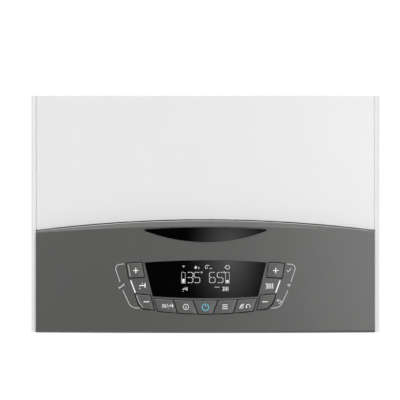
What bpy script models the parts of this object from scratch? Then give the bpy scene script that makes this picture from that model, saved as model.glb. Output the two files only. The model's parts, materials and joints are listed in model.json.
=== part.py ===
"""A wall-hung condensing combi boiler with a drop-down control panel.

Every length is in metres. Places are given in casing coordinates: X to the right, Y towards the wall,
whose face is Y = 0, and Z up from the casing's bottom edge. One empty carries everything and sets the
centre of the wall bracket's wall face as the origin.
"""

from math import cos, pi, radians, sin, sqrt, tan

import bmesh
import bpy
from mathutils import Vector

SHEET = 0.001
FIT = 0.0003
SEAM = 0.0008

# From the wall forwards: the works that set how deep the casing is
FRAME_BACK = 0.006
FRAME_SHEET = 0.0012
VESSEL_THICK = 0.086
VESSEL_ROOM = 0.0045
EXCHANGER_LONG = 0.126
DOOR_THICK = 0.011
DUCT_DEEP = 0.028
DUCT_ROOM = 0.0351
COVER_ROOM = 0.0063
FASCIA_PROUD = 0.013
CHAMBER_BACK = FRAME_BACK + FRAME_SHEET + FIT + VESSEL_THICK + VESSEL_ROOM
DUCT_FRONT = CHAMBER_BACK + SHEET + FIT + EXCHANGER_LONG + FIT + DOOR_THICK + DUCT_DEEP
CHAMBER_FRONT = DUCT_FRONT + DUCT_ROOM
COVER_DEPTH = CHAMBER_FRONT + COVER_ROOM
FASCIA_DEPTH = COVER_DEPTH + FASCIA_PROUD

# From the middle to the left: the works that set how wide the casing is
EXCHANGER_X = -0.040
EXCHANGER_RADIUS = 0.110
PORT_REACH = 0.005
PIPE_BEND = 0.020
WATER_PIPE = 0.009
PIPE_ROOM = 0.004
CHAMBER_ROOM = 0.012
FLOW_X = EXCHANGER_X - EXCHANGER_RADIUS - PORT_REACH - PIPE_BEND
CHAMBER_HALF = -FLOW_X + WATER_PIPE + PIPE_ROOM
CASE_WIDTH = 2 * (CHAMBER_HALF + CHAMBER_ROOM)

# From the foot upwards: the works that set how tall the casing is
CONNECTOR_TOP = 0.0847
BLOCK_TALL = 0.065
PUMP_RISE = 0.008
PUMP_RADIUS = 0.042
PUMP_OUTLET = 0.008
FLOOR_ROOM = 0.025
EXCHANGER_RISE = 0.240
OUTLET_RISE = 0.025
FLUE_RUN = 0.081
TOP_ROOM = 0.014
PUMP_HEIGHT = CONNECTOR_TOP + FIT + BLOCK_TALL + PUMP_RISE + PUMP_RADIUS
CHAMBER_FOOT = PUMP_HEIGHT + PUMP_RADIUS + PUMP_OUTLET + FLOOR_ROOM
EXCHANGER_HEIGHT = CHAMBER_FOOT + EXCHANGER_RISE
OUTLET_TOP = EXCHANGER_HEIGHT + EXCHANGER_RADIUS + OUTLET_RISE
CHAMBER_TOP = OUTLET_TOP + FLUE_RUN
CASE_HEIGHT = CHAMBER_TOP + TOP_ROOM

# Casing
STRIP_WIDTH = 0.0055
STRIP_RADIUS = 0.005
STRIP_RETURN = 0.012
STRIP_SETBACK = 0.0005
SIDE_RETURN = 0.010
COVER_RADIUS = 0.004
COVER_RETURN = 0.014
COVER_FOOT_RETURN = 0.009
TOP_FLANGE = 0.012
TOP_SETBACK = 0.0015
RIM_CHAMFER = 0.001

# Wall bracket and back frame
BRACKET_WIDTH = 0.330
BRACKET_TALL = 0.040
BRACKET_THICK = 0.0025
BRACKET_DROP = 0.055
BRACKET_HEIGHT = CASE_HEIGHT - BRACKET_DROP
BRACKET_SCREW = 0.008
BRACKET_SCREW_REACH = 0.075
BRACKET_SCREW_RISE = 0.006
BRACKET_RADIUS = 0.004
HOOK_SPREAD = 0.130
HOOK_WIDTH = 0.030
HOOK_TALL = 0.012
FRAME_FLANGE = 0.020
FRAME_FOOT = 0.030
WINDOW_WIDE = 0.240
WINDOW_TALL = 0.110
WINDOW_FOOT = 0.090
WINDOW_RADIUS = 0.012

# Control panel face
PANEL_HALF = CASE_WIDTH / 2 - STRIP_WIDTH - SEAM
FASCIA_CROWN = 0.007
FASCIA_WALL = 0.0025
FASCIA_FOOT_RADIUS = 0.003
FASCIA_TOP = 0.1286
FASCIA_TOP_DROP = 0.0124
CHAMFER_FOOT = 0.1219
CHAMFER_FOOT_DROP = 0.008
BADGE_HALF = 0.0692
BADGE_TOP = 0.1208
BADGE_TOP_DROP = 0.0023
BADGE_BOTTOM = 0.1038
BADGE_TIP = 0.002
BADGE_POCKET = 0.0012
BADGE_PROUD = 0.0003
GLASS_SUNK = 0.0001
GLASS_TOP_HALF = 0.0692
GLASS_FOOT_HALF = 0.0600
GLASS_TOP = 0.0829
GLASS_TOP_DROP = 0.0025
GLASS_FOOT = 0.0400
GLASS_FOOT_RISE = 0.0021
GLASS_LIP = 0.0009
GLASS_BACK = 0.0012

# Keys
KEY_TRAVEL = 0.0008
KEY_GAP = 0.00045
KEY_SPLIT = 0.0010
KEY_PROUD = 0.0005
KEY_EDGE = 0.0006
KEY_LIP = 0.0008
KEY_LIP_THICK = 0.0009
KEY_STEM_SHARE = 0.18
ROW_TOP = 0.0370
ROW_TOP_RISE = 0.0023
ROW_FOOT = 0.0220
ROW_FOOT_RISE = 0.0034
ROW_TOP_SPLITS = (0.0142, 0.0366, 0.0588)
ROW_FOOT_SPLITS = (0.0086, 0.0319, 0.0542)
PLUS_TOP = ((0.0723, 0.0802), (0.0811, 0.0799), (0.0899, 0.0793))
PLUS_FOOT = ((0.0698, 0.0641), (0.0785, 0.0636), (0.0872, 0.0629))
MINUS_TOP = ((0.0632, 0.0428), (0.0674, 0.0432), (0.0716, 0.0436), (0.0758, 0.0440), (0.0800, 0.0444))
MINUS_FOOT = ((0.0583, 0.0265), (0.0644, 0.0273), (0.0705, 0.0281), (0.0756, 0.0330), (0.0778, 0.0380))

# Boards, housing and hinge of the control panel
BOARD_DEPTH = 0.0125
BOARD_THICK = 0.0016
BOARD_HALF = 0.108
BOARD_FOOT = 0.016
BOARD_TOP = 0.096
SWITCH_SIZE = 0.006
SWITCH_TALL = 0.0035
SWITCH_GAP = 0.0003
POST_RADIUS = 0.003
DISPLAY_HALF = 0.048
DISPLAY_FOOT = 0.043
DISPLAY_TOP = 0.080
DISPLAY_FRONT = 0.0050
HOUSING_SIDE_ROOM = 0.014
HOUSING_HALF = CASE_WIDTH / 2 - HOUSING_SIDE_ROOM
HOUSING_SETBACK = 0.016
HOUSING_FRONT = FASCIA_DEPTH - HOUSING_SETBACK
HOUSING_TOP = 0.092
HOUSING_WALL = 0.002
HOUSING_RADIUS = 0.008
MAIN_BOARD_SIZE = (0.240, 0.072)
# Left and right edges, height and how far each part stands off the board
BOARD_PARTS = {
    "transformer": (-0.110, -0.080, 0.036, 0.026),
    "relays": (-0.050, -0.010, 0.016, 0.015),
    "terminals": (0.020, 0.100, 0.014, 0.012),
}
STANDOFF = 0.010
VENTS = 7
VENT_START = 0.045
VENT_PITCH = 0.014
VENT_WIDE = 0.004
VENT_DEPTHS = (0.012, 0.030)
HINGE_SETBACK = 0.014
HINGE_DEPTH = HOUSING_FRONT - HINGE_SETBACK
HINGE_HEIGHT = 0.012
PIN_RADIUS = 0.0025
PIN_LENGTH = 0.0042
PIN_PLAY = 0.0003
EAR_GAP = 0.002
EAR_INNER = HOUSING_HALF + EAR_GAP
EAR_RADIUS = 0.008
EAR_SHEET = 0.0015
EAR_REACH = 0.012
EAR_TALL = 0.060
EAR_FOOT_DEPTH = 0.018

# Sealed chamber
CHAMBER_RIM = 0.008
SIGHT_RADIUS = 0.015
SIGHT_LIP = 0.004
SIGHT_THICK = 0.0022
SIGHT_CHAMFER = 0.0006

# Flue and vessel
FLUE_FORWARD = 0.067
FLUE_DEPTH = CHAMBER_BACK + FLUE_FORWARD
FLUE_PROUD = 0.040
FLUE_TOP = CASE_HEIGHT + FLUE_PROUD
FLUE_RADIUS = 0.050
FLUE_WALL = 0.002
FLUE_FLANGE = 0.015
FLUE_FLANGE_THICK = 0.003
FLUE_RIM = 0.003
FLUE_TUBE_RADIUS = 0.0315
FLUE_TUBE_WALL = 0.0015
OUTLET_WALL = 0.002
AIR_CAP_INSET = 0.080
AIR_CAP_PLACE = CASE_WIDTH / 2 - AIR_CAP_INSET
AIR_CAP_RADIUS = 0.022
AIR_CAP_LIP = 0.006
AIR_CAP_THICK = 0.0025
AIR_CAP_PLUG = 0.009
VESSEL_RADIUS = 0.170
VESSEL_DROP = 0.230
VESSEL_HEIGHT = CASE_HEIGHT - VESSEL_DROP
VESSEL_SEAM = 0.004
VESSEL_FLAT = 0.72
VESSEL_SHOULDER = 0.9
VESSEL_FALL = 0.22
VESSEL_SKIRT = 0.35

# Heat exchanger and burner
EXCHANGER_WALL = 0.004
EXCHANGER_RIM = 0.005
DRAIN_FORWARD = 0.092
DRAIN_DEPTH = CHAMBER_BACK + DRAIN_FORWARD
DRAIN_RADIUS = 0.009
DRAIN_REACH = 0.010
DRAIN_FOOT = EXCHANGER_HEIGHT - EXCHANGER_RADIUS - DRAIN_REACH
COIL_TURNS = 4
COIL_INNER = 0.062
BURNER_RADIUS = 0.034
BURNER_LONG = 0.090
DOOR_LIP = 0.002
DOOR_RADIUS = EXCHANGER_RADIUS + DOOR_LIP
DUCT_TALL = 0.032
DUCT_RADIUS = 0.004
DUCT_LAP = 0.010
RISER_HALF = 0.030
RISER_RADIUS = 0.008
DOOR_DISH = 0.8
DOOR_STEP = 0.86
DOOR_RIM = 0.6
BURNER_CHAMFER = 0.004

# Fan, mixer and gas valve
FAN_INSET = 0.063
FAN_X = CHAMBER_HALF - FAN_INSET
FAN_SETBACK = 0.0777
FAN_DEPTH = CHAMBER_FRONT - FAN_SETBACK
FAN_RISE = 0.045
FAN_FOOT = EXCHANGER_HEIGHT + FAN_RISE
FAN_TALL = 0.040
FAN_WALL = 0.002
SCROLL_START = 0.044
SCROLL_GROWTH = 0.010
MOUTH_REACH = 0.006
NECK_LAP = 0.010
IMPELLER_RADIUS = 0.038
IMPELLER_TALL = 0.028
IMPELLER_PLATE = 0.002
IMPELLER_HUB = 0.010
IMPELLER_INNER = 0.020
IMPELLER_BLADES = 11
BLADE_SWEEP = 38
BLADE_WEB = 0.0012
EYE_INSET = 0.0025
SHAFT_RADIUS = 0.003
SHAFT_PLAY = 0.0003
MOTOR_RADIUS = 0.030
MOTOR_TALL = 0.050
MOTOR_CROWN = 0.8
MOTOR_SHOULDER = 0.85
INLET_RADIUS = 0.018
MIXER_TALL = 0.045
MIXER_FOOT = FAN_FOOT - MIXER_TALL
MIXER_RADIUS = 0.028
MIXER_RIM = 0.006
MIXER_FLARE = 0.010
MIXER_WAIST = 0.82
MIXER_THROAT = 0.7
GAS_PORT_REACH = 0.038
GAS_PORT_X = FAN_X + GAS_PORT_REACH
GAS_PORT_RADIUS = 0.007
VALVE_TALL = 0.070
VALVE_PORT = 0.020
VALVE_DROP = 0.025
VALVE_FOOT = MIXER_FOOT - VALVE_DROP - VALVE_PORT - VALVE_TALL
VALVE_LEFT = 0.030
VALVE_RIGHT = 0.034
VALVE_HALF_DEEP = 0.028
VALVE_RADIUS = 0.004
SOLENOID_RISES = (0.018, 0.052)
SOLENOID_LONG = 0.026
SOLENOID_RADIUS = 0.0135
GAS_DROP = 0.018
GAS_FORWARD = 0.012
GAS_OFFSET = 0.014

# Water side
PLATE_HEIGHT = 0.050
PLATE_SHEET = 0.0015
PLATE_FORWARD = 0.080
PIPE_PITCH = 0.067
PIPE_FORWARD = 0.022
PIPE_DEPTH = CHAMBER_BACK + PIPE_FORWARD
PLATE_FRONT = PIPE_DEPTH + PLATE_FORWARD
CONNECTOR_FOOT = 0.035
LARGE_BORE = 0.008
LARGE_PIPE = 0.012
SMALL_BORE = 0.0055
SMALL_PIPE = 0.009
COLLAR_REACH = 0.005
COLLAR_TALL = 0.006
BLOCK_DEEP = 0.050
BLOCK_BACK = PIPE_DEPTH - BLOCK_DEEP / 2
BLOCK_FRONT = PIPE_DEPTH + BLOCK_DEEP / 2
BLOCK_RADIUS = 0.006
BLOCK_SIDE = 0.002
ACTUATOR_HALF = 0.018
ACTUATOR_INSET = 0.004
ACTUATOR_TALL = 0.058
ACTUATOR_RADIUS = 0.005
PORT_RADIUS = 0.008
EXCHANGER_PLATES = 6
STACK_HALF = 0.095
STACK_DEEP = 0.050
STACK_FOOT = 0.078
STACK_TALL = 0.070
STACK_GAP = 0.022
STACK_RADIUS = 0.014
CORE_RADIUS = 0.010
HOUSING_ROOM = 0.030
HOUSING_BACK = BLOCK_FRONT + STACK_GAP + STACK_DEEP + HOUSING_ROOM
PUMP_X = 0.105
PUMP_DEEP = 0.036
PUMP_MOTOR_RADIUS = 0.044
PUMP_MOTOR_LONG = 0.070
PUMP_NECK = 0.014
PUMP_NECK_ROOT = 0.7
PUMP_CROWN = 0.85
PUMP_SHOULDER = 0.9
PUMP_WAIST = 0.15
GAS_PIPE = 0.0075
END_RUN_SHARE = 0.9
PIPE_PLAY = 0.002
GAUGE_X = -0.100
GAUGE_FORWARD = 0.052
GAUGE_DEPTH = PIPE_DEPTH + GAUGE_FORWARD
GAUGE_RADIUS = 0.020
GAUGE_LIP = 0.003
GAUGE_FOOT = 0.034
GAUGE_TALL = 0.034
GAUGE_SUNK = 0.002
TRAP_DEPTH = 0.058
TRAP_RADIUS = 0.028
TRAP_CUP_RADIUS = 0.021
TRAP_FOOT = 0.026
TRAP_TOP = 0.190
TRAP_SPIGOT = 0.016
TRAP_SHOULDER = 0.8
TRAP_ROUND = 0.006
CUP_TALL = 0.012
CUP_STEP = 0.008
CUP_NOZZLE = 0.55
HOSE_RADIUS = 0.009
HOSE_DROP = 0.030
PLATE_SHARE = 0.6
KNOB_RADIUS = 0.011
KNOB_TALL = 0.022
KNOB_STEM = 0.004
KNOB_CROWN = 0.85
KNOB_FLUTE = 0.24
KNOB_FLUTE_REACH = 1.12
SAFETY_KNOB_SHARE = 0.7
FILL_X = 0.0335
SAFETY_X = 0.140
SAFETY_HEIGHT = 0.118
SAFETY_BODY = 0.012
SAFETY_STEM = 0.003
KNOB_DROP = 0.004

for leftover in list(bpy.data.objects):
    bpy.data.objects.remove(leftover, do_unlink=True)

boiler = bpy.data.collections.new("condensing_boiler")
cutters = bpy.data.collections.new("cutters")
cutters.hide_render = True
for collection in (boiler, cutters):
    bpy.context.scene.collection.children.link(collection)

case_place = {}


def axis_empty(name, place, parent=None):
    """An empty that carries the pieces of one body, at a place in casing coordinates."""
    empty = bpy.data.objects.new(name, None)
    boiler.objects.link(empty)
    empty.parent = parent
    empty.location = Vector(place) - case_place.get(parent, Vector((0, 0, 0)))
    case_place[empty] = Vector(place)
    return empty


datum = axis_empty("wall_datum", (0, 0, 0))
datum.location.z = -BRACKET_HEIGHT
panel_axis = axis_empty("panel_axis", (0, -HINGE_DEPTH, HINGE_HEIGHT), datum)


def finish(name, color, roughness, metallic=0.0):
    material = bpy.data.materials.new(name)
    material.use_nodes = True
    shader = material.node_tree.nodes["Principled BSDF"]
    shader.inputs["Base Color"].default_value = (*color, 1)
    shader.inputs["Roughness"].default_value = roughness
    shader.inputs["Metallic"].default_value = metallic
    return material


WHITE_PAINT = finish("white_paint", (0.80, 0.80, 0.80), 0.35)
GALVANISED = finish("galvanised_steel", (0.55, 0.56, 0.57), 0.45, 0.9)
STAINLESS = finish("stainless_steel", (0.62, 0.62, 0.61), 0.3, 1.0)
FASCIA_GREY = finish("grey_fascia", (0.107, 0.112, 0.105), 0.45)
BLACK_GLOSS = finish("black_gloss", (0.004, 0.004, 0.004), 0.08)
KEY_GREY = finish("key_grey", (0.10, 0.105, 0.10), 0.5)
BLACK_PLASTIC = finish("black_plastic", (0.02, 0.02, 0.022), 0.5)
GREY_PLASTIC = finish("grey_plastic", (0.22, 0.22, 0.23), 0.5)
BOARD_GREEN = finish("board_green", (0.02, 0.14, 0.06), 0.45)
RED_PAINT = finish("red_paint", (0.45, 0.02, 0.015), 0.4)
CAST_ALLOY = finish("cast_alloy", (0.6, 0.6, 0.6), 0.5, 0.9)
BRASS = finish("brass", (0.72, 0.5, 0.2), 0.3, 1.0)
COPPER = finish("copper", (0.72, 0.33, 0.2), 0.3, 1.0)
RUBBER = finish("rubber", (0.03, 0.03, 0.03), 0.8)
CLEAR_GLASS = finish("clear_glass", (0.7, 0.75, 0.75), 0.05)


def add(name, form, material, origin, parent=None, closed=True):
    """A piece from a bmesh in casing coordinates, with its own origin at the place given."""
    if closed:
        bmesh.ops.recalc_face_normals(form, faces=form.faces)
    bmesh.ops.translate(form, verts=form.verts, vec=-Vector(origin))
    mesh = bpy.data.meshes.new(name)
    form.to_mesh(mesh)
    form.free()
    piece = bpy.data.objects.new(name, mesh)
    if material:
        mesh.materials.append(material)
    return settle(piece, origin, parent)


def settle(piece, origin, parent=None):
    parent = parent or datum
    boiler.objects.link(piece)
    piece.parent = parent
    piece.location = Vector(origin) - case_place[parent]
    return piece


def tool(piece):
    """Makes a piece a cutter or a joined shape: it stays, hidden, in the cutters' collection."""
    boiler.objects.unlink(piece)
    cutters.objects.link(piece)
    piece.hide_render = True
    piece.display_type = "WIRE"
    return piece


def boolean(piece, other, operation):
    step = piece.modifiers.new(other.name, "BOOLEAN")
    step.operation = operation
    step.object = tool(other)
    return piece


def cut(piece, *others):
    for other in others:
        boolean(piece, other, "DIFFERENCE")
    return piece


def join(piece, *others):
    for other in others:
        boolean(piece, other, "UNION")
    return piece


def smooth(piece):
    piece.data.shade_smooth()
    piece.data.set_sharp_from_angle(angle=radians(35))
    return piece


def block(name, low, high, material=None, parent=None, radius=0.0, segments=2):
    """A box between two corners, its edges rounded by the radius."""
    low, high = Vector(low), Vector(high)
    form = bmesh.new()
    bmesh.ops.create_cube(form, size=1)
    bmesh.ops.scale(form, verts=form.verts, vec=high - low)
    if radius:
        bmesh.ops.bevel(form, geom=form.edges, offset=radius, affect="EDGES", segments=segments, profile=0.5)
    middle = (low + high) / 2
    bmesh.ops.translate(form, verts=form.verts, vec=middle)
    return add(name, form, material, middle, parent)


def pan(name, low, high, open_sides, wall, material, parent=None, radius=0.0):
    """A box of sheet between two corners, open on the sides named, with its walls inside the corners."""
    low, high = Vector(low), Vector(high)
    form = bmesh.new()
    bmesh.ops.create_cube(form, size=1)
    bmesh.ops.scale(form, verts=form.verts, vec=high - low)
    ways = [Vector(way) for way in open_sides]
    opened = [face for face in form.faces if any(face.normal.dot(way) > 0.5 for way in ways)]
    bmesh.ops.delete(form, geom=opened, context="FACES")
    if radius:
        folds = [edge for edge in form.edges if not edge.is_boundary]
        bmesh.ops.bevel(form, geom=folds, offset=radius, affect="EDGES", segments=3, profile=0.5)
    middle = (low + high) / 2
    bmesh.ops.translate(form, verts=form.verts, vec=middle)
    piece = add(name, form, material, middle, parent, closed=False)
    return thicken(piece, wall)


def thicken(piece, wall):
    """Gives an open surface its wall, on the side away from its normals."""
    shell = piece.modifiers.new("wall", "SOLIDIFY")
    shell.thickness = wall
    shell.offset = -1
    shell.use_even_offset = True
    return piece


def rod(name, start, end, radius, material=None, parent=None, end_radius=None, sides=20):
    """A cylinder or a cone between two points."""
    start, end = Vector(start), Vector(end)
    reach = end - start
    form = bmesh.new()
    bmesh.ops.create_cone(
        form,
        cap_ends=True,
        segments=sides,
        radius1=radius,
        radius2=radius if end_radius is None else end_radius,
        depth=reach.length,
    )
    piece = add(name, form, material, (0, 0, 0), parent)
    piece.location = (start + end) / 2 - case_place[piece.parent]
    piece.rotation_euler = reach.to_track_quat("Z", "Y").to_euler()
    return smooth(piece)


def turned(name, profile, base, direction, material=None, parent=None, closed=False, steps=24):
    """A profile of (radius, height) from top to bottom turned about a direction through the base."""
    form = bmesh.new()
    points = [form.verts.new((radius, 0, height)) for radius, height in profile]
    for pair in zip(points, points[1:]):
        form.edges.new(pair)
    if closed:
        form.edges.new((points[-1], points[0]))
    piece = add(name, form, material, (0, 0, 0), parent, closed=False)
    piece.location = Vector(base) - case_place[piece.parent]
    piece.rotation_euler = Vector(direction).to_track_quat("Z", "Y").to_euler()
    spin = piece.modifiers.new("turning", "SCREW")
    spin.steps = steps
    spin.render_steps = steps
    spin.use_merge_vertices = True
    spin.merge_threshold = 0.00001
    return piece


def tube(name, bore, radius, foot, top, place, material, parent=None, steps=24):
    """An upright round tube, or a ring."""
    profile = [(radius, top), (radius, foot), (bore, foot), (bore, top)]
    return turned(name, profile, (*place, 0), (0, 0, 1), material, parent, closed=True, steps=steps)


def route(corners, bend, arc_points=4):
    """The corners joined by straight runs, with a round bend in place of each inner corner. A bend may take
    up nearly all of an end run, and half of a run that it shares with the next bend."""
    corners = [Vector(corner) for corner in corners]
    runs = [(after - before).length for before, after in zip(corners, corners[1:])]
    room = [run / 2 for run in runs]
    room[0] = runs[0] * END_RUN_SHARE
    room[-1] = runs[-1] * END_RUN_SHARE
    path = [corners[0]]
    for index, (before, corner, after) in enumerate(zip(corners, corners[1:], corners[2:])):
        inward = (before - corner).normalized()
        onward = (after - corner).normalized()
        half_turn = inward.angle(onward) / 2
        cut_back = min(bend / tan(half_turn), room[index], room[index + 1])
        start, end = corner + inward * cut_back, corner + onward * cut_back
        for step in range(arc_points):
            share = step / (arc_points - 1)
            path.append((1 - share) ** 2 * start + 2 * share * (1 - share) * corner + share**2 * end)
    return path + [corners[-1]]


def pipe(name, corners, radius, material, bend=PIPE_BEND):
    """A bent round pipe as a curve, with flat ends."""
    points = route(corners, bend)
    curve = bpy.data.curves.new(name, "CURVE")
    curve.dimensions = "3D"
    curve.bevel_depth = radius
    curve.bevel_resolution = 2
    curve.use_fill_caps = True
    curve.materials.append(material)
    spline = curve.splines.new("POLY")
    spline.points.add(len(points) - 1)
    for point, place in zip(spline.points, points):
        point.co = (*(place - points[0]), 1)
    return settle(bpy.data.objects.new(name, curve), points[0])


def plate(name, outline, thick, origin, facing, material=None, parent=None, holes=()):
    """A flat plate from its outline about the origin. Facing "front" lays the outline in X and Z with the
    plate's thickness towards the front, "up" in X and Y with it rising, "side" in Y and Z with it to +X."""
    curve = bpy.data.curves.new(name, "CURVE")
    curve.dimensions = "2D"
    curve.fill_mode = "BOTH"
    curve.extrude = thick / 2
    for ring in (outline, *holes):
        spline = curve.splines.new("POLY")
        spline.points.add(len(ring) - 1)
        spline.use_cyclic_u = True
        for point, (across, along) in zip(spline.points, ring):
            point.co = (across, along, 0, 1)
    turns = {"front": (pi / 2, 0, 0), "up": (0, 0, 0), "side": (pi / 2, 0, pi / 2)}
    ways = {"front": (0, -1, 0), "up": (0, 0, 1), "side": (1, 0, 0)}
    piece = settle(bpy.data.objects.new(name, curve), origin, parent)
    piece.rotation_euler = turns[facing]
    piece.location += Vector(ways[facing]) * thick / 2
    return as_mesh(piece, material)


def as_mesh(piece, material):
    """The evaluated curve as a mesh piece with its caps welded, so that it can be cut and joined."""
    bpy.context.view_layer.update()
    graph = bpy.context.evaluated_depsgraph_get()
    mesh = bpy.data.meshes.new_from_object(piece.evaluated_get(graph))
    form = bmesh.new()
    form.from_mesh(mesh)
    bmesh.ops.remove_doubles(form, verts=form.verts, dist=0.000001)
    bmesh.ops.recalc_face_normals(form, faces=form.faces)
    form.to_mesh(mesh)
    form.free()
    if material:
        mesh.materials.append(material)
    name = piece.name
    made = bpy.data.objects.new(name + "_mesh", mesh)
    boiler.objects.link(made)
    made.parent = piece.parent
    made.matrix_world = piece.matrix_world
    bpy.data.objects.remove(piece, do_unlink=True)
    made.name = name
    return made


def circle(radius, across=0.0, along=0.0, sides=20):
    turn = 2 * pi / sides
    return [(across + radius * cos(turn * k), along + radius * sin(turn * k)) for k in range(sides)]


def rectangle(width, height, radius, across=0.0, along=0.0, corner_points=3):
    """A rectangle about a point, with round corners."""
    points = []
    for quarter in range(4):
        sign_x = 1 if quarter in (0, 3) else -1
        sign_y = 1 if quarter in (0, 1) else -1
        for step in range(corner_points):
            angle = pi / 2 * (quarter + step / (corner_points - 1))
            x = across + sign_x * (width / 2 - radius) + radius * cos(angle)
            y = along + sign_y * (height / 2 - radius) + radius * sin(angle)
            points.append((x, y))
    return points


def surface(form, rows, ring=False):
    """Faces between rows of points of equal count: a loft."""
    grid = [[form.verts.new(point) for point in row] for row in rows]
    count = len(grid[0])
    for above, below in zip(grid, grid[1:]):
        for here in range(count if ring else count - 1):
            after = (here + 1) % count
            form.faces.new((above[here], above[after], below[after], below[here]))
    return grid


def folded(name, path, foot, tall, wall, inside, material, parent=None):
    """Bent sheet: a path in X and Y drawn up from the foot, its wall on the side of the inside point."""
    form = bmesh.new()
    points = [form.verts.new((x, y, foot)) for x, y in path]
    edges = [form.edges.new(pair) for pair in zip(points, points[1:])]
    raised = bmesh.ops.extrude_edge_only(form, edges=edges)["geom"]
    upper = [item for item in raised if isinstance(item, bmesh.types.BMVert)]
    bmesh.ops.translate(form, verts=upper, vec=(0, 0, tall))
    form.normal_update()
    largest = max(form.faces, key=lambda face: face.calc_area())
    outward = largest.calc_center_median() - Vector((*inside, foot + tall / 2))
    if largest.normal.dot(outward) < 0:
        bmesh.ops.reverse_faces(form, faces=form.faces)
    return thicken(add(name, form, material, (*path[0], foot), parent, closed=False), wall)


# Control panel surfaces


def bowed(x, middle, drop, half):
    """A height that falls by the drop from the middle to half the width."""
    return middle - drop * (x / half) ** 2


def face_y(x):
    return -FASCIA_DEPTH + FASCIA_CROWN * (x / PANEL_HALF) ** 2


def fascia_top(x):
    return bowed(x, FASCIA_TOP, FASCIA_TOP_DROP, PANEL_HALF)


def spread(low, high, count):
    return [low + (high - low) * step / (count - 1) for step in range(count)]


def fascia_form(name, inset, back, stations=17):
    """The fascia's closed outer form, or the same form drawn in by the inset, back to a depth."""
    rows = []
    for x in spread(-PANEL_HALF + inset, PANEL_HALF - inset, stations):
        front = face_y(x) + inset
        foot = inset
        radius = max(FASCIA_FOOT_RADIUS - inset, FASCIA_FOOT_RADIUS / 6)
        shoulder = bowed(x, CHAMFER_FOOT, CHAMFER_FOOT_DROP, PANEL_HALF) - inset / 2
        section = [(-back, foot)]
        for step in range(4):
            angle = pi / 2 * step / 3
            section.append((front + radius * (1 - sin(angle)), foot + radius * (1 - cos(angle))))
        rim = fascia_top(x) - inset
        section += [(front, shoulder), (-COVER_DEPTH + inset, rim), (-back, rim)]
        rows.append([(x, y, z) for y, z in section])
    form = bmesh.new()
    grid = surface(form, rows, ring=True)
    form.faces.new(grid[0])
    form.faces.new(grid[-1])
    return add(name, form, FASCIA_GREY, (0, -HINGE_DEPTH, HINGE_HEIGHT), panel_axis)


def grown(ring, distance):
    """The ring, which runs clockwise seen from the front, with each side moved outwards."""
    moved = []
    for index, point in enumerate(ring):
        before, here = Vector(ring[index - 1]), Vector(point)
        after = Vector(ring[(index + 1) % len(ring)])
        first, second = (here - before).normalized(), (after - here).normalized()
        normals = Vector((-first.y, first.x)), Vector((-second.y, second.x))
        mitre = (normals[0] + normals[1]).normalized()
        moved.append(tuple(here + mitre * distance / max(mitre.dot(normals[0]), 0.5)))
    return moved


def shrunk(ring, share):
    middle = sum((Vector(point) for point in ring), Vector((0, 0))) / len(ring)
    return [tuple(middle + (Vector(point) - middle) * share) for point in ring]


def middle_of(ring):
    return sum((Vector(point) for point in ring), Vector((0, 0))) / len(ring)


def facing(name, layers, material=None):
    """A piece that follows the fascia's crown: rings of (x, z) points, each at a depth behind the face."""
    form = bmesh.new()
    rows = [[(x, face_y(x) + depth, z) for x, z in ring] for ring, depth in layers]
    grid = surface(form, rows, ring=True)
    count = len(grid[0])
    for row in (grid[0], grid[-1]):
        for here in range(count // 2 - 1):
            form.faces.new((row[here], row[here + 1], row[count - 2 - here], row[count - 1 - here]))
    middle = middle_of(layers[0][0])
    return add(name, form, material, (middle.x, -FASCIA_DEPTH, middle.y), panel_axis)


def ring_between(top, foot):
    return list(top) + list(reversed(foot))


def through(name, ring, gap):
    """A cutter for an opening through the fascia's wall round a ring."""
    clear = grown(ring, gap)
    return facing(name, [(clear, -FASCIA_WALL), (clear, 2 * FASCIA_WALL)])


def glass_ring(stations=13):
    top = []
    foot = []
    for share in spread(-1, 1, stations):
        top.append((share * GLASS_TOP_HALF, GLASS_TOP - GLASS_TOP_DROP * share**2))
        foot.append((share * GLASS_FOOT_HALF, GLASS_FOOT + GLASS_FOOT_RISE * share**2))
    return ring_between(top, foot)


def badge_ring(stations=17):
    top = []
    foot = []
    for share in spread(-1, 1, stations):
        x = share * BADGE_HALF
        edge = BADGE_TOP - BADGE_TOP_DROP * share**2
        tip = BADGE_TOP - BADGE_TOP_DROP - BADGE_TIP
        top.append((x, edge))
        foot.append((x, BADGE_BOTTOM + (tip - BADGE_BOTTOM) * share**2))
    return ring_between(top, foot)


def row_ring(left, right, foot_left, foot_right, stations=4):
    """A key of the lower row, or the whole row, between slanted sides."""
    top = [(x, ROW_TOP + ROW_TOP_RISE * (x / ROW_TOP_SPLITS[-1]) ** 2) for x in spread(left, right, stations)]
    foot = []
    for x in spread(foot_left, foot_right, stations):
        foot.append((x, ROW_FOOT + ROW_FOOT_RISE * (x / ROW_FOOT_SPLITS[-1]) ** 2))
    return ring_between(top, foot)


def side_ring(top, foot, side):
    """A plus or minus key's outline on one side of the panel, given for the right."""
    if side < 0:
        top = [(-x, z) for x, z in reversed(top)]
        foot = [(-x, z) for x, z in reversed(foot)]
    return ring_between(top, foot)


def key_rings():
    """Each key's name and outline."""
    rings = {}
    tops = [-x for x in reversed(ROW_TOP_SPLITS)] + list(ROW_TOP_SPLITS)
    feet = [-x for x in reversed(ROW_FOOT_SPLITS)] + list(ROW_FOOT_SPLITS)
    names = ("heating_mode_key", "information_key", "on_off_key", "menu_key", "reset_key")
    for index, name in enumerate(names):
        left = KEY_SPLIT / 2 if index else 0
        right = KEY_SPLIT / 2 if index < len(names) - 1 else 0
        edges = (tops[index] + left, tops[index + 1] - right, feet[index] + left, feet[index + 1] - right)
        rings[name] = row_ring(*edges)
    for label, side in (("left", -1), ("right", 1)):
        rings[f"{label}_plus_key"] = side_ring(PLUS_TOP, PLUS_FOOT, side)
        rings[f"{label}_minus_key"] = side_ring(MINUS_TOP, MINUS_FOOT, side)
    return rings


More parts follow.
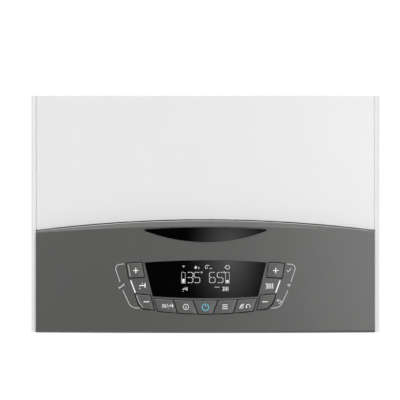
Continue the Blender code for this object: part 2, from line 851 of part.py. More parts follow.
def lipped(ring, lip):
    """The ring with its upper edge raised and its lower edge lowered."""
    half = len(ring) // 2
    return [(x, z + lip) for x, z in ring[:half]] + [(x, z - lip) for x, z in ring[half:]]


def key(name, ring):
    """A moulded key: rounded cap through the wall, lip behind it and a stem towards its switch."""
    lip_front = FASCIA_WALL + FIT
    lip_back = lip_front + KEY_LIP_THICK
    crown = face_y(middle_of(ring).x) + FASCIA_DEPTH
    stem_end = BOARD_DEPTH - SWITCH_TALL - KEY_TRAVEL - SWITCH_GAP - crown
    layers = [
        (grown(ring, -KEY_EDGE), -KEY_PROUD),
        (ring, KEY_EDGE - KEY_PROUD),
        (ring, lip_front),
        (lipped(ring, KEY_LIP), lip_front),
        (lipped(ring, KEY_LIP), lip_back),
        (shrunk(ring, KEY_STEM_SHARE), lip_back),
        (shrunk(ring, KEY_STEM_SHARE), stem_end),
    ]
    facing(name, layers, KEY_GREY)


def fascia():
    shell = fascia_form("fascia", 0.0, HINGE_DEPTH + FIT)
    cut(shell, fascia_form("fascia_hollow", FASCIA_WALL, HINGE_DEPTH - FASCIA_WALL))
    badge = grown(badge_ring(), FIT)
    floor = BADGE_POCKET + FIT
    cut(shell, facing("badge_pocket", [(badge, -FASCIA_WALL), (badge, floor)]))
    cut(shell, through("glass_opening", glass_ring(), FIT))
    row = row_ring(-ROW_TOP_SPLITS[-1], ROW_TOP_SPLITS[-1], -ROW_FOOT_SPLITS[-1], ROW_FOOT_SPLITS[-1], 13)
    cut(shell, through("row_opening", row, KEY_GAP))
    for name, ring in key_rings().items():
        if "plus" in name or "minus" in name:
            cut(shell, through(f"{name}_opening", ring, KEY_GAP))
    for x in (-BOARD_HALF + 2 * POST_RADIUS, BOARD_HALF - 2 * POST_RADIUS):
        for z in (BOARD_FOOT + 2 * POST_RADIUS, BOARD_TOP - 2 * POST_RADIUS):
            start = (x, face_y(x) + FASCIA_WALL / 2, z)
            end = (x, -FASCIA_DEPTH + BOARD_DEPTH - FIT, z)
            post = rod(f"board_post_{x:.3f}_{z:.3f}", start, end, POST_RADIUS, parent=panel_axis, sides=12)
            join(shell, post)


def panel_trim():
    badge = badge_ring()
    facing(
        "badge_plate",
        [(grown(badge, -BADGE_PROUD), -BADGE_PROUD), (badge, 0.0), (badge, BADGE_POCKET)],
        BLACK_GLOSS,
    )
    glass = glass_ring()
    lip_front = FASCIA_WALL + FIT
    wide = grown(glass, GLASS_LIP)
    layers = [(glass, GLASS_SUNK), (glass, lip_front), (wide, lip_front), (wide, lip_front + GLASS_BACK)]
    facing("display_window", layers, BLACK_GLOSS)


def key_board():
    front = -FASCIA_DEPTH + BOARD_DEPTH
    low, high = (-BOARD_HALF, front, BOARD_FOOT), (BOARD_HALF, front + BOARD_THICK, BOARD_TOP)
    board = block("key_board", low, high, BOARD_GREEN, panel_axis)
    half = SWITCH_SIZE / 2
    for name, ring in key_rings().items():
        middle = middle_of(ring)
        low = (middle.x - half, front - SWITCH_TALL, middle.y - half)
        high = (middle.x + half, front + BOARD_THICK / 2, middle.y + half)
        join(board, block(f"{name}_switch", low, high, parent=panel_axis))
    low = (-DISPLAY_HALF, -FASCIA_DEPTH + DISPLAY_FRONT, DISPLAY_FOOT)
    block("display_module", low, (DISPLAY_HALF, front - FIT, DISPLAY_TOP), BLACK_PLASTIC, panel_axis)


def control_housing():
    foot = FASCIA_WALL + FIT
    low, high = (-HOUSING_HALF, -HOUSING_FRONT, foot), (HOUSING_HALF, -HOUSING_BACK, HOUSING_TOP)
    open_side = [(0, -1, 0)]
    shell = pan(
        "control_housing", low, high, open_side, HOUSING_WALL, BLACK_PLASTIC, panel_axis, HOUSING_RADIUS
    )
    for side, label in ((-1, "left"), (1, "right")):
        start = (side * (HOUSING_HALF - HOUSING_WALL / 2), -HINGE_DEPTH, HINGE_HEIGHT)
        end = (side * (HOUSING_HALF + PIN_LENGTH), -HINGE_DEPTH, HINGE_HEIGHT)
        join(shell, rod(f"{label}_hinge_pin", start, end, PIN_RADIUS, parent=panel_axis, sides=16))
    wide, tall = MAIN_BOARD_SIZE
    middle = (foot + HOUSING_TOP) / 2
    back = -HOUSING_BACK - HOUSING_WALL - STANDOFF
    for x in (-wide / 2 + 2 * POST_RADIUS, wide / 2 - 2 * POST_RADIUS):
        for z in (middle - tall / 2 + 2 * POST_RADIUS, middle + tall / 2 - 2 * POST_RADIUS):
            end = (x, -HOUSING_BACK - HOUSING_WALL / 2, z)
            start = (x, back + FIT, z)
            post = rod(f"standoff_{x:.3f}_{z:.3f}", start, end, POST_RADIUS, parent=panel_axis, sides=12)
            join(shell, post)
    for index in range(VENTS):
        x = -HOUSING_HALF + VENT_START + index * VENT_PITCH
        low = (x, -HOUSING_BACK - VENT_DEPTHS[1], HOUSING_TOP - 2 * HOUSING_WALL)
        high = (x + VENT_WIDE, -HOUSING_BACK - VENT_DEPTHS[0], HOUSING_TOP + HOUSING_WALL)
        cut(shell, block(f"vent_slot_{index}", low, high, parent=panel_axis))
    low = (-wide / 2, back - BOARD_THICK, middle - tall / 2)
    board = block("main_board", low, (wide / 2, back, middle + tall / 2), BOARD_GREEN, panel_axis)
    front = back - BOARD_THICK / 2
    for label, (left, right, height, proud) in BOARD_PARTS.items():
        low = (left, front - proud, middle - height / 2)
        join(board, block(label, low, (right, front, middle + height / 2), parent=panel_axis))


def hinge_bracket(side, label):
    """A pressed ear with the pin's bore, and a foot against the side panel."""
    ear = [(EAR_RADIUS * cos(pi + turn), EAR_RADIUS * sin(pi + turn)) for turn in spread(0, pi, 9)]
    ear += [(EAR_REACH, EAR_REACH / 3), (EAR_REACH, EAR_TALL)]
    ear += [(-EAR_RADIUS / 4, EAR_TALL), (-EAR_RADIUS, EAR_RADIUS)]
    near = EAR_INNER if side > 0 else -EAR_INNER - EAR_SHEET
    place = (near, -HINGE_DEPTH, HINGE_HEIGHT)
    bore = circle(PIN_RADIUS + PIN_PLAY, sides=16)
    bracket = plate(f"{label}_hinge_bracket", ear, EAR_SHEET, place, "side", GALVANISED, holes=[bore])
    web = -HINGE_DEPTH + EAR_REACH - 1.5 * EAR_SHEET
    foot = CASE_WIDTH / 2 - SHEET - FIT
    foot_low = HINGE_HEIGHT + EAR_REACH / 2
    root = side * (EAR_INNER + EAR_SHEET / 3)
    path = [(root, web), (side * foot, web), (side * foot, web + EAR_FOOT_DEPTH)]
    inside = (side * EAR_INNER, web + EAR_FOOT_DEPTH)
    tall = EAR_TALL - EAR_REACH
    join(bracket, folded(f"{label}_bracket_foot", path, foot_low, tall, EAR_SHEET, inside, None))


# Casing


def side_panel(side, label):
    half = CASE_WIDTH / 2
    front = -COVER_DEPTH + STRIP_SETBACK
    rear = -FRAME_BACK + FIT + SHEET
    path = [(half - SIDE_RETURN, rear), (half, rear)]
    for angle in spread(0, -pi / 2, 5):
        x = half - STRIP_RADIUS + STRIP_RADIUS * cos(angle)
        path.append((x, front + STRIP_RADIUS + STRIP_RADIUS * sin(angle)))
    path += [(half - STRIP_WIDTH, front), (half - STRIP_WIDTH, front + STRIP_RETURN)]
    path = [(side * x, y) for x, y in path]
    inside = (0, (front + rear) / 2)
    folded(f"{label}_side_panel", path, 0, CASE_HEIGHT, SHEET, inside, WHITE_PAINT)


def cover_plan(inset, stations=17):
    """The cover's outline from above, from its left rear edge round the front to its right."""
    half = PANEL_HALF - inset
    front = -COVER_DEPTH + inset
    radius = max(COVER_RADIUS - inset, COVER_RADIUS / 8)
    rear = -COVER_DEPTH + COVER_RETURN
    plan = [(-half, rear)]
    for angle in spread(pi, 1.5 * pi, 4):
        plan.append((-half + radius + radius * cos(angle), front + radius + radius * sin(angle)))
    plan += [(x, front) for x in spread(-half + radius, half - radius, stations)[1:-1]]
    for angle in spread(1.5 * pi, 2 * pi, 4):
        plan.append((half - radius + radius * cos(angle), front + radius + radius * sin(angle)))
    return plan + [(half, rear)]


def front_cover():
    """The removable front: a pressed pan with an arched lower edge and returns all round."""
    rows = [[(x, y, CASE_HEIGHT) for x, y in cover_plan(COVER_RETURN * 0.8)]]
    for angle in spread(0, pi / 2, 4):
        inset = COVER_RADIUS * (1 - sin(angle))
        height = CASE_HEIGHT - COVER_RADIUS * (1 - cos(angle))
        rows.append([(x, y, height) for x, y in cover_plan(inset)])
    lift = SEAM
    rows.append([(x, y, fascia_top(x) + lift + SHEET) for x, y in cover_plan(0)])
    rows.append([(x, y, fascia_top(x) + lift) for x, y in cover_plan(SHEET)])
    rows.append([(x, y, fascia_top(x) + lift) for x, y in cover_plan(COVER_FOOT_RETURN)])
    form = bmesh.new()
    surface(form, rows)
    form.normal_update()
    largest = max(form.faces, key=lambda face: face.calc_area())
    if largest.normal.y > 0:
        bmesh.ops.reverse_faces(form, faces=form.faces)
    origin = (0, -COVER_DEPTH, (FASCIA_TOP + CASE_HEIGHT) / 2)
    thicken(add("front_cover", form, WHITE_PAINT, origin, closed=False), SHEET)


def top_panel():
    half = CASE_WIDTH / 2 - SHEET - FIT
    low = (-half, -COVER_DEPTH + COVER_RETURN + TOP_SETBACK, CASE_HEIGHT - TOP_FLANGE)
    high = (half, -FRAME_BACK, CASE_HEIGHT)
    panel = pan("top_panel", low, high, [(0, 0, -1), (0, 1, 0)], SHEET, WHITE_PAINT)
    above, below = CASE_HEIGHT + SHEET, CASE_HEIGHT - 2 * SHEET
    radius = FLUE_RADIUS + PIPE_PLAY
    flue = rod("flue_hole", (0, -FLUE_DEPTH, below), (0, -FLUE_DEPTH, above), radius, sides=32)
    place = (AIR_CAP_PLACE, -FLUE_DEPTH)
    air = rod("air_hole", (*place, below), (*place, above), AIR_CAP_RADIUS + FIT)
    cut(panel, flue, air)


def wall_bracket():
    places = (-BRACKET_SCREW_REACH, BRACKET_SCREW_REACH)
    screws = [circle(BRACKET_SCREW / 2, x, BRACKET_SCREW_RISE, 16) for x in places]
    outline = rectangle(BRACKET_WIDTH, BRACKET_TALL, BRACKET_RADIUS)
    origin = (0, 0, BRACKET_HEIGHT)
    strip = plate("wall_bracket", outline, BRACKET_THICK, origin, "front", GALVANISED, holes=screws)
    lip_back = FRAME_BACK + FRAME_SHEET + SEAM
    shelf = BRACKET_HEIGHT - BRACKET_TALL / 4
    for side in (-1, 1):
        x = side * HOOK_SPREAD
        low = (x - HOOK_WIDTH / 2, -lip_back - BRACKET_THICK, shelf)
        high = (x + HOOK_WIDTH / 2, -BRACKET_THICK / 2, shelf + BRACKET_THICK)
        lip_low = (x - HOOK_WIDTH / 2, -lip_back - BRACKET_THICK, shelf)
        lip_high = (x + HOOK_WIDTH / 2, -lip_back, shelf + HOOK_TALL)
        join(strip, block(f"hook_shelf_{side}", low, high), block(f"hook_lip_{side}", lip_low, lip_high))


def back_frame():
    half = CASE_WIDTH / 2 - 2 * SHEET - 2 * FIT
    low = (-half, -FRAME_BACK - FRAME_FLANGE, FRAME_FOOT)
    high = (half, -FRAME_BACK, CASE_HEIGHT - SHEET - FIT)
    frame = pan("back_frame", low, high, [(0, -1, 0)], FRAME_SHEET, GALVANISED)
    shelf = BRACKET_HEIGHT - BRACKET_TALL / 4
    front, rear = -FRAME_BACK - 2 * FRAME_SHEET, -FRAME_BACK + FRAME_SHEET
    for side in (-1, 1):
        x = side * HOOK_SPREAD
        slot_low = (x - HOOK_WIDTH / 2 - PIPE_PLAY, front, shelf - FIT)
        slot_high = (x + HOOK_WIDTH / 2 + PIPE_PLAY, rear, shelf + HOOK_TALL + PIPE_PLAY)
        cut(frame, block(f"hook_slot_{side}", slot_low, slot_high))
    outline = rectangle(WINDOW_WIDE, WINDOW_TALL, WINDOW_RADIUS, 0, WINDOW_FOOT + WINDOW_TALL / 2)
    cut(frame, plate("frame_window", outline, 4 * FRAME_SHEET, (0, rear, 0), "front"))


def connection_plate():
    half = CASE_WIDTH / 2 - 2 * SHEET - 3 * FIT - FRAME_SHEET
    front, rear = -PLATE_FRONT, -FRAME_BACK - FRAME_SHEET - FIT
    outline = [(-half, front), (half, front), (half, rear), (-half, rear)]
    holes = []
    for index, (bore, radius) in enumerate(connector_sizes()):
        holes.append(circle(radius + FIT, (index - 2) * PIPE_PITCH, -PIPE_DEPTH, 16))
    holes.append(circle(TRAP_CUP_RADIUS + FIT, 0, -TRAP_DEPTH))
    holes.append(circle(GAUGE_RADIUS + FIT, GAUGE_X, -GAUGE_DEPTH))
    holes.append(circle(KNOB_STEM + PIPE_PLAY, FILL_X, -PIPE_DEPTH, 16))
    base = (0, 0, PLATE_HEIGHT - PLATE_SHEET)
    plate("connection_plate", outline, PLATE_SHEET, base, "up", GALVANISED, holes=holes)


# Flue, chamber and vessel


def flue():
    rim = FLUE_RADIUS + FLUE_RIM
    under = CASE_HEIGHT + FIT
    over = under + FLUE_FLANGE_THICK
    bore = FLUE_RADIUS - FLUE_WALL
    profile = [
        (rim, FLUE_TOP),
        (rim, FLUE_TOP - 2 * FLUE_RIM),
        (FLUE_RADIUS, FLUE_TOP - 3 * FLUE_RIM),
        (FLUE_RADIUS, over),
        (FLUE_RADIUS + FLUE_FLANGE, over),
        (FLUE_RADIUS + FLUE_FLANGE, under),
        (FLUE_RADIUS, under),
        (FLUE_RADIUS, CHAMBER_TOP - 4 * FLUE_RIM),
        (bore, CHAMBER_TOP - 4 * FLUE_RIM),
        (bore, FLUE_TOP),
    ]
    turned("flue_collar", profile, (0, -FLUE_DEPTH, 0), (0, 0, 1), CAST_ALLOY, closed=True, steps=32)
    inner = FLUE_TUBE_RADIUS - FLUE_TUBE_WALL
    place = (0, -FLUE_DEPTH)
    tube("flue_inner_tube", inner, FLUE_TUBE_RADIUS, OUTLET_TOP + FIT, FLUE_TOP, place, CAST_ALLOY)
    lip = CASE_HEIGHT + FIT
    cap = [
        (0, lip + AIR_CAP_THICK),
        (AIR_CAP_RADIUS + AIR_CAP_LIP - RIM_CHAMFER, lip + AIR_CAP_THICK),
        (AIR_CAP_RADIUS + AIR_CAP_LIP, lip + AIR_CAP_THICK - RIM_CHAMFER),
        (AIR_CAP_RADIUS + AIR_CAP_LIP, lip),
        (AIR_CAP_RADIUS, lip),
        (AIR_CAP_RADIUS, lip - AIR_CAP_PLUG),
        (0, lip - AIR_CAP_PLUG),
    ]
    turned("air_intake_cap", cap, (AIR_CAP_PLACE, -FLUE_DEPTH, 0), (0, 0, 1), GREY_PLASTIC)


def expansion_vessel():
    """Two pressed domes clamped at a seam, its back against the frame."""
    deep = VESSEL_THICK
    flat = VESSEL_RADIUS * VESSEL_FLAT
    half = deep / 2
    profile = [
        (0, deep),
        (flat, deep),
        (VESSEL_RADIUS * VESSEL_SHOULDER, deep - half * VESSEL_FALL),
        (VESSEL_RADIUS - VESSEL_SEAM, half + half * VESSEL_SKIRT),
        (VESSEL_RADIUS - VESSEL_SEAM, half + VESSEL_SEAM),
        (VESSEL_RADIUS, half + VESSEL_SEAM),
        (VESSEL_RADIUS, half - VESSEL_SEAM),
        (VESSEL_RADIUS - VESSEL_SEAM, half - VESSEL_SEAM),
        (VESSEL_RADIUS - VESSEL_SEAM, half - half * VESSEL_SKIRT),
        (VESSEL_RADIUS * VESSEL_SHOULDER, half * VESSEL_FALL),
        (flat, 0),
        (0, 0),
    ]
    base = (0, -FRAME_BACK - FRAME_SHEET - FIT, VESSEL_HEIGHT)
    turned("expansion_vessel", profile, base, (0, -1, 0), RED_PAINT, steps=28)


def chamber():
    low, high = (-CHAMBER_HALF, -CHAMBER_FRONT, CHAMBER_FOOT), (CHAMBER_HALF, -CHAMBER_BACK, CHAMBER_TOP)
    box = pan("chamber_box", low, high, [(0, -1, 0)], SHEET, GALVANISED)
    for side in (-1, 1):
        outer, inner = side * CHAMBER_HALF, side * (CHAMBER_HALF - SHEET)
        low = (min(outer, inner), -CHAMBER_BACK - SHEET / 2, CHAMBER_FOOT)
        high = (max(outer, inner), -FRAME_BACK - FRAME_SHEET - FIT, CHAMBER_TOP)
        join(box, block(f"chamber_wing_{side}", low, high))
    above, below = CHAMBER_TOP + SHEET, CHAMBER_TOP - 2 * SHEET
    radius = FLUE_RADIUS + FIT
    top_hole = rod("collar_hole", (0, -FLUE_DEPTH, below), (0, -FLUE_DEPTH, above), radius, sides=32)
    cut(box, top_hole)
    for label, (place, radius) in chamber_floor_holes().items():
        above, below = (*place, CHAMBER_FOOT + 2 * SHEET), (*place, CHAMBER_FOOT - SHEET)
        cut(box, rod(f"{label}_hole", below, above, radius + PIPE_PLAY, sides=20))
    rim = CHAMBER_HALF + FIT + SHEET
    back = -CHAMBER_FRONT + CHAMBER_RIM
    front = -CHAMBER_FRONT - FIT - SHEET
    low = (-rim, front, CHAMBER_FOOT - FIT - SHEET)
    high = (rim, back, CHAMBER_TOP + FIT + SHEET)
    lid = pan("chamber_cover", low, high, [(0, 1, 0)], SHEET, GALVANISED)
    place = (EXCHANGER_X, EXCHANGER_HEIGHT)
    start, end = (place[0], front - SHEET, place[1]), (place[0], front + 2 * SHEET, place[1])
    cut(lid, rod("sight_hole", start, end, SIGHT_RADIUS + FIT))
    lens = [
        (0, SIGHT_THICK),
        (SIGHT_RADIUS + SIGHT_LIP - SIGHT_CHAMFER, SIGHT_THICK),
        (SIGHT_RADIUS + SIGHT_LIP, SIGHT_THICK - SIGHT_CHAMFER),
        (SIGHT_RADIUS + SIGHT_LIP, 0),
        (SIGHT_RADIUS, 0),
        (SIGHT_RADIUS, -2 * SHEET),
        (0, -2 * SHEET),
    ]
    turned("sight_glass", lens, (place[0], front - FIT, place[1]), (0, -1, 0), CLEAR_GLASS, steps=20)


def chamber_floor_holes():
    return {
        "flow_pipe": (flow_route()[0][:2], WATER_PIPE),
        "return_pipe": (return_route()[0][:2], WATER_PIPE),
        "gas_pipe": (gas_route()[-1][:2], GAS_PIPE),
        "condensate_hose": ((EXCHANGER_X, -DRAIN_DEPTH), HOSE_RADIUS),
    }


# Heat exchanger and burner


def exchanger_back():
    return -CHAMBER_BACK - SHEET - FIT


def heat_exchanger():
    back = exchanger_back()
    place = (EXCHANGER_X, back, EXCHANGER_HEIGHT)
    rim = EXCHANGER_RADIUS + EXCHANGER_RIM
    bore = EXCHANGER_RADIUS - EXCHANGER_WALL
    shell = [
        (bore, EXCHANGER_LONG),
        (rim, EXCHANGER_LONG),
        (rim, EXCHANGER_LONG - EXCHANGER_RIM),
        (EXCHANGER_RADIUS, EXCHANGER_LONG - 2 * EXCHANGER_RIM),
        (EXCHANGER_RADIUS, EXCHANGER_RIM),
        (EXCHANGER_RADIUS - EXCHANGER_RIM, 0),
        (0, 0),
        (0, EXCHANGER_WALL),
        (bore, EXCHANGER_WALL),
    ]
    body = turned("heat_exchanger_body", shell, place, (0, -1, 0), GREY_PLASTIC, closed=True)
    outlet = FLUE_TUBE_RADIUS + OUTLET_WALL
    wall_top = EXCHANGER_HEIGHT + sqrt((EXCHANGER_RADIUS - EXCHANGER_WALL) ** 2 - (EXCHANGER_X + outlet) ** 2)
    join(body, rod("flue_outlet", (0, -FLUE_DEPTH, wall_top), (0, -FLUE_DEPTH, OUTLET_TOP), outlet, sides=24))
    bored = FLUE_TUBE_RADIUS - FLUE_TUBE_WALL
    start = (0, -FLUE_DEPTH, EXCHANGER_HEIGHT + EXCHANGER_RADIUS * 0.6)
    cut(body, rod("flue_bore", start, (0, -FLUE_DEPTH, OUTLET_TOP + SHEET), bored, sides=24))
    drain_top = EXCHANGER_HEIGHT - EXCHANGER_RADIUS + EXCHANGER_WALL / 2
    start = (EXCHANGER_X, -DRAIN_DEPTH, drain_top)
    join(body, rod("drain", start, (EXCHANGER_X, -DRAIN_DEPTH, DRAIN_FOOT), DRAIN_RADIUS, sides=16))
    ports = (("flow_port", -1, flow_route()[-1]), ("return_port", 1, return_route()[-1]))
    for label, side, (x, y, z) in ports:
        inner = (EXCHANGER_X + side * (EXCHANGER_RADIUS - EXCHANGER_WALL / 2), y, z)
        join(body, rod(label, inner, (x - side * FIT, y, z), WATER_PIPE, sides=16))
    outer = bore - 3 * FIT
    pitch = (EXCHANGER_LONG - EXCHANGER_WALL - 2 * FIT) / COIL_TURNS
    deep = pitch * 0.25
    bundle = []
    for turn in reversed(range(COIL_TURNS)):
        low = EXCHANGER_WALL + FIT + turn * pitch
        bundle += [(outer - deep, low + pitch), (outer, low + pitch * 0.75), (outer, low + pitch * 0.25)]
    bundle += [(outer - deep, EXCHANGER_WALL + FIT), (COIL_INNER, EXCHANGER_WALL + FIT)]
    bundle += [(COIL_INNER, EXCHANGER_LONG - FIT)]
    turned("exchanger_coil", bundle, place, (0, -1, 0), STAINLESS, closed=True, steps=20)


def burner_door():
    rear = exchanger_back() - EXCHANGER_LONG - FIT
    front = rear - DOOR_THICK
    profile = [
        (0, DOOR_THICK),
        (DOOR_RADIUS * DOOR_DISH, DOOR_THICK),
        (DOOR_RADIUS * DOOR_STEP, DOOR_THICK * DOOR_RIM),
        (DOOR_RADIUS, DOOR_THICK * DOOR_RIM),
        (DOOR_RADIUS, 0),
        (BURNER_RADIUS, 0),
        (BURNER_RADIUS, -BURNER_LONG + BURNER_CHAMFER),
        (BURNER_RADIUS - BURNER_CHAMFER, -BURNER_LONG),
        (0, -BURNER_LONG),
    ]
    base = (EXCHANGER_X, rear, EXCHANGER_HEIGHT)
    door = turned("burner_door", profile, base, (0, -1, 0), CAST_ALLOY)
    middle = duct_middle()
    near = front + DOOR_THICK / 2
    low = (EXCHANGER_X - RISER_HALF, front - DUCT_DEEP, EXCHANGER_HEIGHT - RISER_HALF)
    high = (EXCHANGER_X + RISER_HALF, near, middle + DUCT_TALL / 2)
    riser = block("mixture_riser", low, high, radius=RISER_RADIUS)
    low = (EXCHANGER_X - DUCT_LAP, front - DUCT_DEEP, middle - DUCT_TALL / 2)
    high = (fan_mouth() - FIT, near, middle + DUCT_TALL / 2)
    duct = block("mixture_duct", low, high, radius=DUCT_RADIUS)
    join(door, riser, duct)


def duct_middle():
    return FAN_FOOT + FAN_TALL / 2


def fan_mouth():
    return FAN_X - SCROLL_START - SCROLL_GROWTH - MOUTH_REACH


# Fan, mixer and gas valve


def scroll(radius, growth, sides=28):
    """A volute's outline that widens clockwise to its mouth at the front."""
    points = []
    for step in range(sides + 1):
        angle = -pi / 2 - 2 * pi * step / sides
        reach = radius + growth * step / sides
        points.append((reach * cos(angle), reach * sin(angle)))
    return points


def fan():
    place = (FAN_X, -FAN_DEPTH)
    top = FAN_FOOT + FAN_TALL
    outline = scroll(SCROLL_START, SCROLL_GROWTH)
    shell = plate("fan_housing", outline, FAN_TALL, (*place, FAN_FOOT), "up", CAST_ALLOY)
    front = -FAN_DEPTH - SCROLL_START - SCROLL_GROWTH
    neck_back = front + DUCT_DEEP
    half = DUCT_TALL / 2
    low = (fan_mouth(), front, duct_middle() - half)
    join(shell, block("fan_neck", low, (FAN_X - NECK_LAP, neck_back, duct_middle() + half)))
    inner = scroll(SCROLL_START - FAN_WALL, SCROLL_GROWTH)
    base = (*place, FAN_FOOT + FAN_WALL)
    cut(shell, plate("scroll_hollow", inner, FAN_TALL - 2 * FAN_WALL, base, "up"))
    low = (fan_mouth() - FAN_WALL, front + FAN_WALL, duct_middle() - half + FAN_WALL)
    high = (FAN_X - NECK_LAP - FAN_WALL, neck_back - FAN_WALL, duct_middle() + half - FAN_WALL)
    cut(shell, block("neck_hollow", low, high))
    low, high = (*place, FAN_FOOT - FAN_WALL), (*place, FAN_FOOT + 2 * FAN_WALL)
    cut(shell, rod("inlet_hole", low, high, INLET_RADIUS))
    low, high = (*place, top - 2 * FAN_WALL), (*place, top + FAN_WALL)
    cut(shell, rod("shaft_hole", low, high, 2 * SHAFT_RADIUS, sides=16))

    foot = FAN_FOOT + (FAN_TALL - IMPELLER_TALL) / 2
    wheel = impeller(foot)
    bore_radius = SHAFT_RADIUS + SHAFT_PLAY
    low, high = (*place, foot - IMPELLER_PLATE), (*place, foot + IMPELLER_TALL + IMPELLER_PLATE)
    cut(wheel, rod("impeller_bore", low, high, bore_radius, sides=16))

    seat = top + FIT
    shaft_end = foot + IMPELLER_PLATE
    profile = [
        (0, MOTOR_TALL),
        (MOTOR_RADIUS * MOTOR_CROWN, MOTOR_TALL),
        (MOTOR_RADIUS, MOTOR_TALL * MOTOR_SHOULDER),
        (MOTOR_RADIUS, 0),
        (SHAFT_RADIUS, 0),
        (SHAFT_RADIUS, shaft_end - seat),
        (0, shaft_end - seat),
    ]
    turned("fan_motor", profile, (*place, seat), (0, 0, 1), BLACK_PLASTIC, steps=24)


def impeller(foot):
    """Backward-swept blades, drawn as one star outline, under a back plate with a hub.

    The star's middle is bored out, so that the inlet looks through to the hub.
    """
    star = []
    sweep = radians(BLADE_SWEEP)
    pitch = 2 * pi / IMPELLER_BLADES
    for blade in range(IMPELLER_BLADES):
        start = blade * pitch
        outline = []
        for share in spread(0, 1, 3):
            reach = IMPELLER_INNER + (IMPELLER_RADIUS - IMPELLER_INNER) * share
            outline.append((reach, start - sweep * share + BLADE_WEB / reach))
        for share in spread(1, 0, 3):
            reach = IMPELLER_INNER + (IMPELLER_RADIUS - IMPELLER_INNER) * share
            outline.append((reach, start - sweep * share - BLADE_WEB / reach))
        star += [(reach * cos(angle), reach * sin(angle)) for reach, angle in reversed(outline)]
    place = (FAN_X, -FAN_DEPTH)
    tall = IMPELLER_TALL
    blades = plate("impeller_blades", star, tall - IMPELLER_PLATE / 2, (*place, foot), "up")
    eye = IMPELLER_INNER - EYE_INSET
    cut_eye = rod("impeller_eye", (*place, foot - SHEET), (*place, foot + tall - IMPELLER_PLATE), eye)
    top = foot + tall
    profile = [
        (0, tall),
        (IMPELLER_RADIUS, tall),
        (IMPELLER_RADIUS, tall - IMPELLER_PLATE),
        (IMPELLER_HUB, tall - IMPELLER_PLATE),
        (IMPELLER_HUB * 0.7, IMPELLER_PLATE),
        (0, IMPELLER_PLATE),
    ]
    axis = axis_empty("fan_axis", (*place, (foot + top) / 2), datum)
    wheel = turned("fan_impeller", profile, (*place, foot), (0, 0, 1), CAST_ALLOY, parent=axis)
    cut(blades, cut_eye)
    return join(wheel, blades)


def gas_train():
    top = FAN_FOOT - FIT
    tall = top - MIXER_FOOT
    bore = INLET_RADIUS * MIXER_THROAT
    profile = [
        (MIXER_RADIUS, tall),
        (MIXER_RADIUS, tall - MIXER_RIM),
        (MIXER_RADIUS * MIXER_WAIST, tall - MIXER_FLARE),
        (MIXER_RADIUS * MIXER_WAIST, MIXER_FLARE),
        (MIXER_RADIUS, MIXER_RIM),
        (MIXER_RADIUS, 0),
        (INLET_RADIUS, 0),
        (bore, tall / 2),
        (INLET_RADIUS, tall),
    ]
    base = (FAN_X, -FAN_DEPTH, MIXER_FOOT)
    mixer = turned("air_gas_mixer", profile, base, (0, 0, 1), BLACK_PLASTIC, closed=True)
    ring_high = MIXER_FOOT + tall / 2
    x, y = GAS_PORT_X, -FAN_DEPTH
    start = (FAN_X + MIXER_RADIUS * MIXER_THROAT, y, ring_high)
    side_port = rod("mixer_arm", start, (x, y, ring_high), GAS_PORT_RADIUS, sides=16)
    valve_top = VALVE_FOOT + VALVE_TALL
    low = (x, y, valve_top + VALVE_PORT + FIT)
    port = rod("mixer_port", low, (x, y, ring_high + GAS_PORT_RADIUS), GAS_PORT_RADIUS * 1.1, sides=16)
    join(mixer, side_port, port)
    gas_x, gas_y, gas_top = gas_route()[-1]
    low = (gas_x - VALVE_LEFT, -FAN_DEPTH - VALVE_HALF_DEEP, VALVE_FOOT)
    high = (gas_x + VALVE_RIGHT, -FAN_DEPTH + VALVE_HALF_DEEP, valve_top)
    valve = block("gas_valve", low, high, CAST_ALLOY, radius=VALVE_RADIUS)
    start = (x, y, valve_top - SHEET)
    join(valve, rod("valve_port", start, (x, y, valve_top + VALVE_PORT), GAS_PORT_RADIUS * 1.1, sides=16))
    for rise in SOLENOID_RISES:
        start = (gas_x, low[1] + SHEET, VALVE_FOOT + rise)
        end = (gas_x, low[1] - SOLENOID_LONG, VALVE_FOOT + rise)
        join(valve, rod(f"solenoid_{rise:.3f}", start, end, SOLENOID_RADIUS))


# Pipes and water side


def connector_sizes():
    """Bore and outer radius from left to right: flow, hot water, gas, cold water, return."""
    large, small = (LARGE_BORE, LARGE_PIPE), (SMALL_BORE, SMALL_PIPE)
    return [large, small, large, small, large]


def block_top():
    return CONNECTOR_TOP + FIT + BLOCK_TALL


def flow_route():
    return [
        (FLOW_X, -PIPE_DEPTH, block_top() + FIT),
        (FLOW_X, -PIPE_DEPTH, EXCHANGER_HEIGHT),
        (FLOW_X + PIPE_BEND, -PIPE_DEPTH, EXCHANGER_HEIGHT),
    ]


def return_route():
    x = PUMP_X
    low = PUMP_HEIGHT + PUMP_RADIUS + PUMP_OUTLET
    port = EXCHANGER_X + EXCHANGER_RADIUS + PORT_REACH
    return [
        (x, -PIPE_DEPTH, low + FIT),
        (x, -PIPE_DEPTH, EXCHANGER_HEIGHT),
        (port, -PIPE_DEPTH, EXCHANGER_HEIGHT),
    ]


def gas_route():
    run = CHAMBER_FOOT - GAS_DROP
    front = -FAN_DEPTH - GAS_FORWARD
    x = FAN_X + GAS_OFFSET
    return [
        (0, -PIPE_DEPTH, CONNECTOR_TOP + FIT),
        (0, -PIPE_DEPTH, run),
        (0, front, run),
        (x, front, run),
        (x, front, VALVE_FOOT - FIT),
    ]


